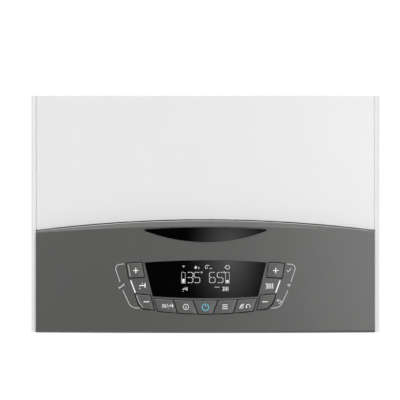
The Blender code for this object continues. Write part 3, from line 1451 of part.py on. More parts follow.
def pipes():
    pipe("flow_pipe", flow_route(), WATER_PIPE, COPPER)
    pipe("return_pipe", return_route(), WATER_PIPE, COPPER)
    pipe("gas_pipe", gas_route(), GAS_PIPE, COPPER)
    hose = [
        (0, -TRAP_DEPTH, TRAP_TOP + TRAP_SPIGOT + FIT),
        (0, -TRAP_DEPTH, CHAMBER_FOOT - HOSE_DROP),
        (EXCHANGER_X, -DRAIN_DEPTH, CHAMBER_FOOT - HOSE_DROP),
        (EXCHANGER_X, -DRAIN_DEPTH, DRAIN_FOOT - FIT),
    ]
    pipe("condensate_hose", hose, HOSE_RADIUS, RUBBER)


def connectors():
    names = ("heating_flow", "hot_water", "gas", "cold_water", "heating_return")
    foot = PLATE_HEIGHT + FIT
    for index, (name, (bore, radius)) in enumerate(zip(names, connector_sizes())):
        collar = radius + COLLAR_REACH
        profile = [
            (radius, CONNECTOR_TOP),
            (radius, foot + COLLAR_TALL),
            (collar, foot + COLLAR_TALL),
            (collar, foot),
            (radius, foot),
            (radius, CONNECTOR_FOOT),
            (bore, CONNECTOR_FOOT),
            (bore, CONNECTOR_TOP),
        ]
        base = ((index - 2) * PIPE_PITCH, -PIPE_DEPTH, 0)
        turned(f"{name}_connector", profile, base, (0, 0, 1), BRASS, closed=True, steps=16)


def manifolds():
    foot = CONNECTOR_TOP + FIT
    top = foot + BLOCK_TALL
    reach = LARGE_PIPE + COLLAR_REACH
    flow_x, hot_x = -2 * PIPE_PITCH, -PIPE_PITCH
    port_z = STACK_FOOT + STACK_TALL / 2
    port_end = -BLOCK_FRONT - STACK_GAP + FIT

    left = FLOW_X - WATER_PIPE - BLOCK_SIDE
    low, high = (left, -BLOCK_FRONT, foot), (hot_x + reach, -BLOCK_BACK, top)
    flow = block("flow_manifold", low, high, BLACK_PLASTIC, radius=BLOCK_RADIUS)
    start = (hot_x, -BLOCK_FRONT + SHEET, port_z)
    join(flow, rod("flow_stack_port", start, (hot_x, port_end, port_z), PORT_RADIUS, sides=16))

    cold_x, return_x = PIPE_PITCH, 2 * PIPE_PITCH
    low, high = (FILL_X - KNOB_RADIUS, -BLOCK_FRONT, foot), (return_x + reach, -BLOCK_BACK, top)
    back = block("return_manifold", low, high, BLACK_PLASTIC, radius=BLOCK_RADIUS)
    start = (cold_x, -BLOCK_FRONT + SHEET, port_z)
    join(back, rod("return_stack_port", start, (cold_x, port_end, port_z), PORT_RADIUS, sides=16))
    start = (SAFETY_X, -BLOCK_FRONT + SHEET, SAFETY_HEIGHT)
    end = (SAFETY_X, -BLOCK_FRONT - SAFETY_BODY, SAFETY_HEIGHT)
    join(back, rod("safety_valve_body", start, end, KNOB_RADIUS - SHEET, sides=16))

    low = (hot_x - ACTUATOR_HALF, -BLOCK_FRONT + ACTUATOR_INSET, top + FIT)
    high = (hot_x + ACTUATOR_HALF, -BLOCK_BACK - ACTUATOR_INSET, top + ACTUATOR_TALL)
    block("diverter_actuator", low, high, GREY_PLASTIC, radius=ACTUATOR_RADIUS)

    rear = port_end - FIT
    pitch = STACK_TALL / EXCHANGER_PLATES
    thick = pitch * PLATE_SHARE
    rows = rectangle(2 * STACK_HALF - 2 * pitch, STACK_DEEP - 2 * pitch, CORE_RADIUS)
    middle = (0, rear - STACK_DEEP / 2, STACK_FOOT)
    core = plate("plate_heat_exchanger", rows, STACK_TALL, middle, "up", STAINLESS)
    wide = rectangle(2 * STACK_HALF, STACK_DEEP, STACK_RADIUS)
    for index in range(EXCHANGER_PLATES):
        base = (0, rear - STACK_DEEP / 2, STACK_FOOT + index * pitch + FIT)
        join(core, plate(f"stack_plate_{index}", wide, thick, base, "up"))


def pump():
    low = block_top() + FIT
    back, front = -PIPE_DEPTH + PUMP_DEEP / 2, -PIPE_DEPTH - PUMP_DEEP / 2
    centre = (PUMP_X, PUMP_HEIGHT)
    start, end = (centre[0], back, centre[1]), (centre[0], front, centre[1])
    body = rod("pump_body", start, end, PUMP_RADIUS, BLACK_PLASTIC)
    start = (PUMP_X, -PIPE_DEPTH, PUMP_HEIGHT - PUMP_RADIUS * PUMP_NECK_ROOT)
    join(body, rod("pump_inlet", start, (PUMP_X, -PIPE_DEPTH, low), PUMP_NECK, sides=16))
    start = (PUMP_X, -PIPE_DEPTH, PUMP_HEIGHT + PUMP_RADIUS * PUMP_NECK_ROOT)
    end = (PUMP_X, -PIPE_DEPTH, PUMP_HEIGHT + PUMP_RADIUS + PUMP_OUTLET)
    join(body, rod("pump_outlet", start, end, PUMP_NECK, sides=16))
    profile = [
        (0, PUMP_MOTOR_LONG),
        (PUMP_MOTOR_RADIUS * PUMP_CROWN, PUMP_MOTOR_LONG),
        (PUMP_MOTOR_RADIUS, PUMP_MOTOR_LONG * PUMP_SHOULDER),
        (PUMP_MOTOR_RADIUS, PUMP_MOTOR_LONG * PUMP_WAIST),
        (PUMP_MOTOR_RADIUS * PUMP_SHOULDER, 0),
        (0, 0),
    ]
    turned("pump_motor", profile, (PUMP_X, front - FIT, PUMP_HEIGHT), (0, -1, 0), GREY_PLASTIC)


def gauge_and_trap():
    lip_top = PLATE_HEIGHT - PLATE_SHEET - FIT
    lip = GAUGE_RADIUS + GAUGE_LIP
    foot = GAUGE_FOOT
    gauge = [
        (0, foot + GAUGE_TALL),
        (GAUGE_RADIUS, foot + GAUGE_TALL),
        (GAUGE_RADIUS, lip_top),
        (lip, lip_top),
        (lip, foot + RIM_CHAMFER),
        (lip - RIM_CHAMFER, foot),
        (GAUGE_RADIUS - RIM_CHAMFER, foot),
        (GAUGE_RADIUS - RIM_CHAMFER, foot + GAUGE_SUNK),
        (0, foot + GAUGE_SUNK),
    ]
    turned("pressure_gauge", gauge, (GAUGE_X, -GAUGE_DEPTH, 0), (0, 0, 1), BLACK_PLASTIC, steps=20)
    seat = PLATE_HEIGHT + FIT
    trap = [
        (0, TRAP_TOP + TRAP_SPIGOT),
        (DRAIN_RADIUS, TRAP_TOP + TRAP_SPIGOT),
        (DRAIN_RADIUS, TRAP_TOP),
        (TRAP_RADIUS * TRAP_SHOULDER, TRAP_TOP),
        (TRAP_RADIUS, TRAP_TOP - TRAP_ROUND),
        (TRAP_RADIUS, seat),
        (TRAP_CUP_RADIUS, seat),
        (TRAP_CUP_RADIUS, TRAP_FOOT + CUP_TALL),
        (TRAP_CUP_RADIUS * CUP_NOZZLE, TRAP_FOOT + CUP_STEP),
        (TRAP_CUP_RADIUS * CUP_NOZZLE, TRAP_FOOT),
        (0, TRAP_FOOT),
    ]
    turned("condensate_trap", trap, (0, -TRAP_DEPTH, 0), (0, 0, 1), GREY_PLASTIC, steps=20)


def fluted_knob(name, base, direction, tall, stem, material):
    """A knob with finger flutes on its own axis, and a stem behind it."""
    axis = axis_empty(f"{name}_axis", base, datum)
    profile = [
        (0, tall),
        (KNOB_RADIUS * KNOB_CROWN, tall),
        (KNOB_RADIUS, tall * KNOB_CROWN),
        (KNOB_RADIUS, 0),
        (KNOB_STEM, 0),
        (KNOB_STEM, -stem),
        (0, -stem),
    ]
    knob = turned(name, profile, base, direction, material, parent=axis, steps=18)
    way = Vector(direction)
    across = way.orthogonal().normalized()
    other = way.cross(across)
    for index in range(6):
        angle = 2 * pi * index / 6
        centre = Vector(base) + (across * cos(angle) + other * sin(angle)) * KNOB_RADIUS * KNOB_FLUTE_REACH
        start, end = centre - way * KNOB_STEM / 2, centre + way * (tall + KNOB_STEM / 2)
        cut(knob, rod(f"{name}_flute_{index}", start, end, KNOB_RADIUS * KNOB_FLUTE, parent=axis, sides=8))
    return knob


def knobs():
    foot = CONNECTOR_TOP
    top = PLATE_HEIGHT - PLATE_SHEET - KNOB_DROP
    base = (FILL_X, -PIPE_DEPTH, top)
    fluted_knob("filling_tap_knob", base, (0, 0, -1), KNOB_TALL, foot - top, BLACK_PLASTIC)
    base = (SAFETY_X, -BLOCK_FRONT - SAFETY_BODY - FIT - SAFETY_STEM, SAFETY_HEIGHT)
    fluted_knob("safety_valve_knob", base, (0, -1, 0), KNOB_TALL * SAFETY_KNOB_SHARE, SAFETY_STEM, RED_PAINT)


wall_bracket()
back_frame()
for hand, word in ((-1, "left"), (1, "right")):
    side_panel(hand, word)
    hinge_bracket(hand, word)
top_panel()
front_cover()
connection_plate()
fascia()
panel_trim()
for key_name, key_ring in key_rings().items():
    key(key_name, key_ring)
key_board()
control_housing()
flue()
expansion_vessel()
chamber()
heat_exchanger()
burner_door()
fan()
gas_train()
pipes()
connectors()
manifolds()
pump()
gauge_and_trap()
knobs()
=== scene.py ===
"""A wall-hung condensing boiler: finishes, trim, marks, light and camera round its solid parts."""

import json
from math import cos, pi, radians, sin, tan

import bmesh
import bpy
from mathutils import Matrix, Vector
from mathutils.geometry import convex_hull_2d


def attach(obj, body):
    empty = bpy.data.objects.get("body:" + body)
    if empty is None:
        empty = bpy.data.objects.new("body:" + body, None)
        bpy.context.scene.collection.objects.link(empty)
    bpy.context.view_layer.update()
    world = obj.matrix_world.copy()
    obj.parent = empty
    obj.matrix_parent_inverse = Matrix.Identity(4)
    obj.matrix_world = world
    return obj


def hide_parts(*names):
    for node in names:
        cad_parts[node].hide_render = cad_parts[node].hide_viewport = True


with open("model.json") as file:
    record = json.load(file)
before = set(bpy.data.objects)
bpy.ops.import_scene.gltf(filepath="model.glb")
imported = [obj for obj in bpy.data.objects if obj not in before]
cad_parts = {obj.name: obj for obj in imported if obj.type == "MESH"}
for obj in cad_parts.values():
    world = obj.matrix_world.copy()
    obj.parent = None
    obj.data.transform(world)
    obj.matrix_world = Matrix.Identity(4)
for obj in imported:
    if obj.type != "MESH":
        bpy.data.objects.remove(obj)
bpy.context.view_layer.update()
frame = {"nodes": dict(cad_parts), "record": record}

# Sizes in metres, SHARP in degrees. Heights are above the casing's lower edge, which is RAISE below the
# wall bracket's middle.
RAISE = 0.690
CASE_HALF = 0.200
CASE_TALL = 0.745
PANEL_HALF = 0.1937
FACE_FRONT = -0.319
FACE_CROWN = 0.007
FACE_TOP = 0.1286
FACE_DROP = 0.0124
COVER_FRONT = -0.306
COVER_FOLD = 0.0040
COVER_EDGE = 0.0004
COVER_LIFT = 0.0008
COVER_SHEET = 0.0010
KEY_PROUD = 0.0005
INK_THICK = 0.00006
FLUE_DEPTH = 0.165
PIPE_DEPTH = 0.120
PIPE_PITCH = 0.067
PIPE_BEND = 0.020
BACK_SHEET = -0.0060
CHAMBER_FRONT = -0.3010
WELD = 1e-6
EDGE_ROUND = 0.0003
SHARP = 35
UP, DOWN, FORWARD, BACKWARD = (0, 0, 1), (0, 0, -1), (0, -1, 0), (0, 1, 0)


def face_y(x):
    """The control panel's crowned front."""
    return FACE_FRONT + FACE_CROWN * (x / PANEL_HALF) ** 2


def crown_normal(x):
    return Vector((2 * FACE_CROWN * x / PANEL_HALF**2, -1, 0)).normalized()


def fascia_top(x):
    return FACE_TOP - FACE_DROP * (x / PANEL_HALF) ** 2


def placed(x, y, height):
    """A point given by its height above the casing's lower edge."""
    return Vector((x, y, height - RAISE))


def polar(radius, angle, height=0.0, forward=False):
    """A point round the Z axis, or round an axis that points forward."""
    across, along = radius * cos(angle), radius * sin(angle)
    return Vector((across, -height, along)) if forward else Vector((across, along, height))


def mm(*points):
    """Points that are given in millimetres."""
    return [tuple(value / 1000 for value in point) for point in points]


# Shader nodes


class Value:
    """A node's output socket that arithmetic can be written with."""

    def __init__(self, tree, socket):
        self.tree = tree
        self.socket = socket

    def math(self, operation, *others):
        return self.tree.make("ShaderNodeMath", {"operation": operation}, self, *others)

    def __add__(self, other):
        return self.math("ADD", other)

    __radd__ = __add__

    def __sub__(self, other):
        return self.math("SUBTRACT", other)

    def __rsub__(self, other):
        return self.tree.make("ShaderNodeMath", {"operation": "SUBTRACT"}, other, self)

    def __mul__(self, other):
        return self.math("MULTIPLY", other)

    __rmul__ = __mul__

    def __truediv__(self, other):
        return self.math("DIVIDE", other)

    def __pow__(self, other):
        return self.math("POWER", other)


class Tree:
    """A material's or a world's nodes."""

    def __init__(self, owner):
        owner.use_nodes = True
        self.nodes = owner.node_tree.nodes
        self.links = owner.node_tree.links
        self.nodes.clear()

    def node(self, kind, settings, *values, **named):
        made = self.nodes.new(kind)
        for key, value in settings.items():
            setattr(made, key, value)
        for key, value in list(enumerate(values)) + list(named.items()):
            self.feed(made.inputs[key], value)
        return made

    def feed(self, socket, value):
        if isinstance(value, Value):
            self.links.new(value.socket, socket)
        else:
            socket.default_value = value

    def make(self, kind, settings, *values, out=0, **named):
        return Value(self, self.node(kind, settings, *values, **named).outputs[out])

    def place(self, stretch):
        """Object coordinates, in metres, stretched for a pattern."""
        point = self.make("ShaderNodeTexCoord", {}, out="Object")
        return self.make("ShaderNodeMapping", {}, point, Scale=stretch)

    def noise(self, scale, detail=2.0, stretch=(1, 1, 1), distortion=0.0):
        named = {"Vector": self.place(stretch), "Scale": scale, "Detail": detail, "Distortion": distortion}
        return self.make("ShaderNodeTexNoise", {}, **named)

    def cells(self, scale, stretch=(1, 1, 1), feature="F1", out="Distance"):
        named = {"Vector": self.place(stretch), "Scale": scale}
        return self.make("ShaderNodeTexVoronoi", {"feature": feature}, out=out, **named)

    def fit(self, value, low, high, new_low=0.0, new_high=1.0):
        return self.make("ShaderNodeMapRange", {}, value, low, high, new_low, new_high)

    def spread(self, noise, low=0.0, high=1.0):
        """A noise's usual range, fitted to new ends."""
        return self.fit(noise, 0.3, 0.7, low, high)

    def mix(self, share, first, second):
        """A colour between two colours."""
        made = self.nodes.new("ShaderNodeMix")
        made.data_type = "RGBA"
        self.feed(made.inputs["Factor"], share)
        sockets = [socket for socket in made.inputs if socket.type == "RGBA"]
        for socket, value in zip(sockets, (first, second)):
            self.feed(socket, value)
        return Value(self, [socket for socket in made.outputs if socket.type == "RGBA"][0])

    def bump(self, height, distance, strength):
        return self.make("ShaderNodeBump", {}, Height=height, Distance=distance, Strength=strength)

    def flat_place(self):
        """The X and the Y of a stage sheet's own place."""
        parts = self.node("ShaderNodeSeparateXYZ", {}, self.make("ShaderNodeTexCoord", {}, out="Object"))
        return Value(self, parts.outputs[0]), Value(self, parts.outputs[1])


def tone(red, green=None, blue=None):
    """A colour with its alpha: one number makes a grey."""
    return (red, red if green is None else green, red if blue is None else blue, 1.0)


def surfaced(name, shader):
    """A material whose surface shader comes from a function of its tree."""
    made = bpy.data.materials.new(name)
    tree = Tree(made)
    tree.node("ShaderNodeOutputMaterial", {}, shader(tree))
    return made


def material(name, finish):
    """A material whose Principled sockets come from a function of its tree."""
    return surfaced(name, lambda tree: tree.make("ShaderNodeBsdfPrincipled", {}, **finish(tree)))


# Finishes


def skin(tree, patches, dark, light, grain, smooth, rough, depth=0.0, strength=0.3):
    """Two tones in patches, and a grain that sets the roughness and stands in relief."""
    sockets = {"Base Color": tree.mix(patches, dark, light), "Roughness": tree.spread(grain, smooth, rough)}
    if depth:
        sockets["Normal"] = tree.bump(grain, depth, strength)
    return sockets


def powder_coat(tree):
    patches = tree.spread(tree.noise(6))
    dark, light = tone(0.757, 0.760, 0.760), tone(0.782, 0.784, 0.782)
    return skin(tree, patches, dark, light, tree.noise(900), 0.33, 0.41, 0.00002, 0.35)


def satin_grey(tree):
    patches = tree.spread(tree.noise(9, 3))
    dark, light = tone(0.0750, 0.0770, 0.0730), tone(0.0800, 0.0820, 0.0770)
    return skin(tree, patches, dark, light, tree.noise(2600), 0.32, 0.41, 0.000012)


def key_satin(tree):
    grain = tree.noise(3000)
    dark, light = tone(0.074, 0.077, 0.072), tone(0.081, 0.084, 0.079)
    return skin(tree, tree.spread(grain), dark, light, grain, 0.36, 0.46, 0.00001)


def polished_black(tree):
    film = tree.noise(14, 3)
    return skin(tree, tree.spread(film), tone(0.0004), tone(0.0009), film, 0.04, 0.07) | {"Coat Weight": 0.3}


def zinc(tree):
    """Zinc-coated sheet with its faint crystals."""
    flake = tree.make("ShaderNodeSeparateColor", {}, tree.cells(170, out="Color"))
    fine = tree.noise(420, 3)
    return {
        "Base Color": tree.mix(flake, tone(0.53, 0.54, 0.55), tone(0.58, 0.59, 0.60)),
        "Roughness": tree.fit(flake + fine, 0.2, 1.6, 0.38, 0.50),
        "Metallic": 0.9,
        "Normal": tree.bump(fine, 0.00002, 0.3),
    }


def brushed(tree):
    """Stainless steel with a fine grain along X."""
    grain = tree.noise(60, 4, (1, 24, 24))
    dark, light = tone(0.56, 0.56, 0.55), tone(0.66, 0.66, 0.65)
    sockets = skin(tree, tree.spread(grain), dark, light, grain, 0.22, 0.36, 0.00002, 0.25)
    return sockets | {"Metallic": 1.0}


def cast(tree):
    """Die-cast aluminium: a fine pebbled skin."""
    flow = tree.spread(tree.noise(28, 3, distortion=0.6))
    dark, light = tone(0.52, 0.525, 0.53), tone(0.63, 0.63, 0.635)
    return skin(tree, flow, dark, light, tree.noise(1100, 3), 0.42, 0.56, 0.00006, 0.4) | {"Metallic": 0.9}


def stained(tree, stain, least, clean, dull, fine, smooth, rough, depth):
    """Bare metal whose stains are duller than the rest."""
    return {
        "Base Color": tree.mix(tree.fit(stain, least, 0.75), clean, dull),
        "Roughness": tree.fit(stain + fine, 0.6, 1.4, smooth, rough),
        "Metallic": 1.0,
        "Normal": tree.bump(fine, depth, 0.3),
    }


def machined_brass(tree):
    clean, dull = tone(0.76, 0.55, 0.25), tone(0.55, 0.36, 0.15)
    rings = tree.noise(220, 2, (0.05, 0.05, 6))
    return stained(tree, tree.noise(70, 4), 0.35, clean, dull, rings, 0.22, 0.40, 0.00002)


def drawn_copper(tree):
    stain = tree.noise(38, 4, distortion=0.4)
    clean, dull = tone(0.80, 0.42, 0.28), tone(0.50, 0.22, 0.13)
    return stained(tree, stain, 0.4, clean, dull, tree.noise(600), 0.24, 0.42, 0.00001)


def moulded(dark, light, smooth=0.42, rough=0.56):
    """A moulded plastic of one colour with a fine spark-eroded grain."""

    def build(tree):
        patches = tree.spread(tree.noise(16))
        return skin(tree, patches, dark, light, tree.noise(1700), smooth, rough, 0.00002, 0.35)

    return build


def glossy_paint(tree):
    patches = tree.spread(tree.noise(11, 3))
    dark, light = tone(0.42, 0.016, 0.012), tone(0.50, 0.026, 0.018)
    return skin(tree, patches, dark, light, tree.noise(340), 0.24, 0.34, 0.00003) | {"Coat Weight": 0.25}


def matt_rubber(tree):
    grain = tree.noise(1300, 3)
    return skin(tree, grain, tone(0.020), tone(0.036), grain, 0.66, 0.82, 0.00004, 0.4)


def key_web(tree):
    """Painted shade: a black band in and round the gap of a key that stands for the shadow in the gap, and
    hardly shines.
    """
    grain = tree.noise(1300, 3)
    return skin(tree, grain, tone(0.002), tone(0.006), grain, 0.72, 0.86) | {"Specular IOR Level": 0.12}


def circuit_green(tree):
    """Solder mask over copper tracks, which run square to each other."""
    track = tree.fit(tree.cells(95, (1, 1, 1.6), "DISTANCE_TO_EDGE"), 0.03, 0.06, 1, 0)
    mask = skin(tree, track, tone(0.012, 0.10, 0.042), tone(0.03, 0.19, 0.075), tree.noise(900), 0.24, 0.34)
    return mask | {"Normal": tree.bump(track, 0.00003, 0.5)}


def clear_pane(tree):
    return {
        "Base Color": tone(0.92, 0.96, 0.95),
        "Roughness": tree.spread(tree.noise(60), 0.01, 0.04),
        "Transmission Weight": 0.85,
        "IOR": 1.47,
    }


def ink(shade):
    def build(tree):
        cover = tree.noise(5000)
        return skin(tree, cover, tone(shade * 0.94), tone(shade), cover, 0.45, 0.6)

    return build


def perforated(tree):
    """Burner sheet with rows of small dark holes."""
    dark = tree.fit(tree.cells(330), 0.16, 0.24, 1, 0)
    return {
        "Base Color": tree.mix(dark, tone(0.50, 0.47, 0.43), tone(0.01)),
        "Roughness": tree.fit(dark, 0, 1, 0.38, 0.8),
        "Metallic": tree.fit(dark, 0, 1, 1.0, 0.0),
        "Normal": tree.bump(dark, 0.0002, 0.5),
    }


def lit(colour, strength):
    """A part of the display or a key's symbol that is lit from behind."""

    def build(tree):
        weak = tone(*[channel * 0.92 for channel in colour])
        return {
            "Base Color": tone(0.05),
            "Roughness": 0.4,
            "Emission Color": tree.mix(tree.spread(tree.noise(1500)), weak, tone(*colour)),
            "Emission Strength": strength,
        }

    return build


PAINT = material("white powder coat", powder_coat)
GREY = material("satin grey moulding", satin_grey)
KEY = material("satin key moulding", key_satin)
BLACK = material("polished black window", polished_black)
ZINC = material("zinc coated sheet", zinc)
STEEL = material("brushed stainless steel", brushed)
CAST = material("die-cast aluminium", cast)
BRASS = material("machined brass", machined_brass)
COPPER = material("drawn copper", drawn_copper)
DARK = material("black moulding", moulded(tone(0.016), tone(0.024)))
MID = material("grey moulding", moulded(tone(0.19, 0.19, 0.2), tone(0.23, 0.23, 0.24)))
PALE = material("white moulding", moulded(tone(0.70), tone(0.76)))
RED = material("red gloss paint", glossy_paint)
# A pale grey that is a painted highlight, for edges that would catch the light.
PAINTED_HIGHLIGHT = material("painted highlight grey", moulded(tone(0.46, 0.465, 0.456), tone(0.51, 0.515, 0.505), 0.25, 0.34))
RUBBER = material("matt rubber", matt_rubber)
# A black that is painted shade, for the shadow in the gap round each key.
GAP_SHADE = material("painted key gap shade", key_web)
GREEN = material("circuit board", circuit_green)
PANE = material("clear glass", clear_pane)
PERFORATED = material("perforated burner sheet", perforated)
WHITE_INK = material("white ink", ink(0.92))
GREY_INK = material("light grey ink", ink(0.68))
GLOW = material("lit display segment", lit((0.80, 0.82, 0.84), 0.95))
BLUE_GLOW = material("lit blue symbol", lit((0.065, 0.39, 0.54), 1.0))

# Each record slot's finish
SLOTS = {
    "white_paint": PAINT,
    "galvanised_steel": ZINC,
    "stainless_steel": STEEL,
    "grey_fascia": GREY,
    "black_gloss": BLACK,
    "key_grey": KEY,
    "black_plastic": DARK,
    "grey_plastic": MID,
    "board_green": GREEN,
    "cast_alloy": CAST,
    "red_paint": RED,
    "clear_glass": PANE,
    "copper_pipe": COPPER,
    "rubber": RUBBER,
    "brass": BRASS,
}
node_slot = {row["node"]: row["material_slot"] for row in frame["record"]["subparts"]}
node_body = {node: body for body, nodes in frame["record"]["behaviour"]["bodies"].items() for node in nodes}


# Making pieces


def piece(name, form, finish, body, stands_for=(), bevel=0.0, sharp=SHARP, merge=True):
    """A finished piece from a bmesh whose place is in its mesh."""
    if merge:
        bmesh.ops.remove_doubles(form, verts=form.verts, dist=WELD)
    mesh = bpy.data.meshes.new(name)
    form.to_mesh(mesh)
    form.free()
    mesh.materials.append(finish)
    mesh.shade_smooth()
    mesh.set_sharp_from_angle(angle=radians(sharp))
    made = bpy.data.objects.new(name, mesh)
    bpy.context.scene.collection.objects.link(made)
    if bevel:
        soften(made, bevel)
    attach(made, body)
    if stands_for:
        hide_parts(*stands_for)
    return made


def soften(made, width):
    """Rounds a piece's hard edges."""
    edge = made.modifiers.new("rounded edges", "BEVEL")
    edge.width = width
    edge.segments = 2
    edge.limit_method = "ANGLE"
    edge.angle_limit = radians(SHARP)
    edge.use_clamp_overlap = True
    edge.harden_normals = True


def evaluated_mesh(made):
    bpy.context.view_layer.update()
    return bpy.data.meshes.new_from_object(made.evaluated_get(bpy.context.evaluated_depsgraph_get()))


def crisp_cover(form):
    """Draws the front cover's side folds and its arched edge in to the tight folds of its thin sheet."""
    share = COVER_EDGE / COVER_FOLD
    near = 1e-5
    for vert in form.verts:
        x, y, height = vert.co.x, vert.co.y, vert.co.z + RAISE
        across, deep = abs(x) - (PANEL_HALF - COVER_FOLD), y - (COVER_FRONT + COVER_FOLD)
        above_arch = height - fascia_top(x) - COVER_LIFT
        if abs(above_arch - COVER_SHEET) < 3 * near and deep < 0:
            vert.co.z -= COVER_SHEET * 0.7
        if across > near and deep < -near and height < CASE_TALL - COVER_FOLD + near:
            vert.co.x = (1 if x > 0 else -1) * (PANEL_HALF - COVER_EDGE + across * share)
            vert.co.y = COVER_FRONT + COVER_EDGE + deep * share


def true_crown(made):
    """Gives the faces of the fascia's front the normals of its curve, so that its flats don't show."""
    most_turn, most_depth = radians(1.5), 0.0004
    mesh = evaluated_mesh(made)
    normals = [corner.vector.copy() for corner in mesh.corner_normals]
    for face in mesh.polygons:
        middle = face.center
        turned_away = face.normal.dot(crown_normal(middle.x)) < cos(most_turn)
        if turned_away or abs(middle.y - face_y(middle.x)) > most_depth:
            continue
        for corner in face.loop_indices:
            normals[corner] = crown_normal(mesh.vertices[mesh.loops[corner].vertex_index].co.x)
    mesh.normals_split_custom_set(normals)
    made.modifiers.clear()
    made.data = mesh


def dressed(node, bevel, sharp):
    """A part's own shape with rounded edges and its finish."""
    form = bmesh.new()
    form.from_mesh(frame["nodes"][node].data)
    bmesh.ops.remove_doubles(form, verts=form.verts, dist=2e-6)
    if node == "front_cover":
        crisp_cover(form)
    bmesh.ops.dissolve_limit(form, angle_limit=radians(0.05), verts=form.verts, edges=form.edges)
    slot = node_slot[node]
    made = piece(node + "_dressed", form, SLOTS[slot], node_body[node], (node,), bevel, sharp)
    if node == "fascia":
        true_crown(made)


remade = set()


def own(node, form, finish=None, bevel=0.0, sharp=SHARP):
    """A part's shape made anew at full detail."""
    remade.add(node)
    slot = node_slot[node]
    piece(node + "_finished", form, finish or SLOTS[slot], node_body[node], (node,), bevel, sharp)


def aimed(form, place, direction):
    """Turns a bmesh from the Z axis to a direction and puts it in its place."""
    bmesh.ops.recalc_face_normals(form, faces=form.faces)
    turn = Vector(direction).to_track_quat("Z", "Y").to_matrix().to_4x4()
    bmesh.ops.transform(form, matrix=Matrix.Translation(place) @ turn, verts=form.verts)
    return form


def turned(profile, base, direction=UP, steps=72, closed=False):
    """A bmesh: a profile of (radius, height) spun about a direction through the base."""
    form = bmesh.new()
    points = [form.verts.new((radius, 0, height)) for radius, height in profile]
    edges = [form.edges.new(pair) for pair in zip(points, points[1:])]
    if closed:
        edges.append(form.edges.new((points[-1], points[0])))
    settings = {"cent": (0, 0, 0), "axis": UP, "angle": 2 * pi, "steps": steps}
    bmesh.ops.spin(form, geom=points + edges, use_merge=True, **settings)
    bmesh.ops.remove_doubles(form, verts=form.verts, dist=WELD)
    return aimed(form, base, direction)


def boxed(low, high, radius=0.0, segments=3):
    """A bmesh: a box between two corners, which are given by their heights, its edges rounded."""
    low, high = placed(*low), placed(*high)
    form = bmesh.new()
    bmesh.ops.create_cube(form, size=1)
    bmesh.ops.scale(form, verts=form.verts, vec=high - low)
    bmesh.ops.translate(form, verts=form.verts, vec=(low + high) / 2)
    if radius:
        settings = {"affect": "EDGES", "segments": segments, "profile": 0.5, "material": -1}
        bmesh.ops.bevel(form, geom=form.edges, offset=radius, **settings)
    return form


def only(kind, items):
    return [item for item in items if isinstance(item, kind)]


def edges_of(verts):
    return list({edge for vert in verts for edge in vert.link_edges})


def drawn(outline, levels, base, direction=UP):
    """A bmesh: an outline carried through levels of (size, height) and closed at both ends."""
    form = bmesh.new()
    ring = bmesh.ops.create_circle(form, segments=len(outline), radius=1, cap_ends=True)["verts"]
    size, height = levels[0]
    for vert, (across, along) in zip(ring, outline):
        vert.co = Vector((across * size, along * size, height))
    rim = edges_of(ring)
    for next_size, next_height in levels[1:]:
        grown = bmesh.ops.extrude_edge_only(form, edges=rim)["geom"]
        rim, ring = only(bmesh.types.BMEdge, grown), only(bmesh.types.BMVert, grown)
        for vert in ring:
            vert.co = Vector((vert.co.x / size * next_size, vert.co.y / size * next_size, next_height))
        size = next_size
    bmesh.ops.contextual_create(form, geom=ring)
    return aimed(form, base, direction)


def merged(*forms):
    """One bmesh from several, which are used up."""
    whole = forms[0]
    for other in forms[1:]:
        mesh = bpy.data.meshes.new("part of a piece")
        other.to_mesh(mesh)
        other.free()
        whole.from_mesh(mesh)
        bpy.data.meshes.remove(mesh)
    return whole


def curve_mesh(curve):
    """The evaluated curve as a bmesh with its caps welded."""
    holder = bpy.data.objects.new(curve.name, curve)
    bpy.context.scene.collection.objects.link(holder)
    mesh = evaluated_mesh(holder)
    form = bmesh.new()
    form.from_mesh(mesh)
    bmesh.ops.remove_doubles(form, verts=form.verts, dist=1e-7)
    bpy.data.objects.remove(holder, do_unlink=True)
    bpy.data.curves.remove(curve)
    bpy.data.meshes.remove(mesh)
    return form


def strand(points, radius, closed=False, sides=3, swell=(1.0,)):
    """A bmesh: a round line through points, its radius times the swell at each."""
    curve = bpy.data.curves.new("line", "CURVE")
    curve.dimensions = "3D"
    curve.bevel_depth = radius
    curve.bevel_resolution = sides
    curve.use_fill_caps = True
    spline = curve.splines.new("POLY")
    spline.points.add(len(points) - 1)
    spline.use_cyclic_u = closed
    for index, (point, place) in enumerate(zip(spline.points, points)):
        point.co = (*place, 1)
        point.radius = swell[index % len(swell)]
    return curve_mesh(curve)


def sheet_shape(outline):
    """A bmesh: a flat shape in X and Y."""
    curve = bpy.data.curves.new("outline", "CURVE")
    curve.dimensions = "2D"
    curve.fill_mode = "BOTH"
    spline = curve.splines.new("POLY")
    spline.points.add(len(outline) - 1)
    spline.use_cyclic_u = True
    for point, (across, along) in zip(spline.points, outline):
        point.co = (across, along, 0, 1)
    return curve_mesh(curve)


def bent(*corners, arc_points=10):
    """Straight runs between corners, which are given by their heights, with a round bend at each."""
    corners = [placed(*corner) for corner in corners]
    runs = [(after - before).length for before, after in zip(corners, corners[1:])]
    room = [runs[0] * 0.9] + [run / 2 for run in runs[1:-1]] + [runs[-1] * 0.9]
    path = [corners[0]]
    for index, (before, corner, after) in enumerate(zip(corners, corners[1:], corners[2:])):
        inward, onward = (before - corner).normalized(), (after - corner).normalized()
        reach = min(PIPE_BEND / tan(inward.angle(onward) / 2), room[index], room[index + 1])
        start, end = corner + inward * reach, corner + onward * reach
        for step in range(arc_points + 1):
            share = step / arc_points
            path.append((1 - share) ** 2 * start + 2 * share * (1 - share) * corner + share**2 * end)
    return path + [corners[-1]]


def arc(centre, radius, start, end, count):
    """Points on an arc, its angles in degrees."""
    angles = [radians(start + (end - start) * step / (count - 1)) for step in range(count)]
    return [(centre[0] + radius * cos(angle), centre[1] + radius * sin(angle)) for angle in angles]


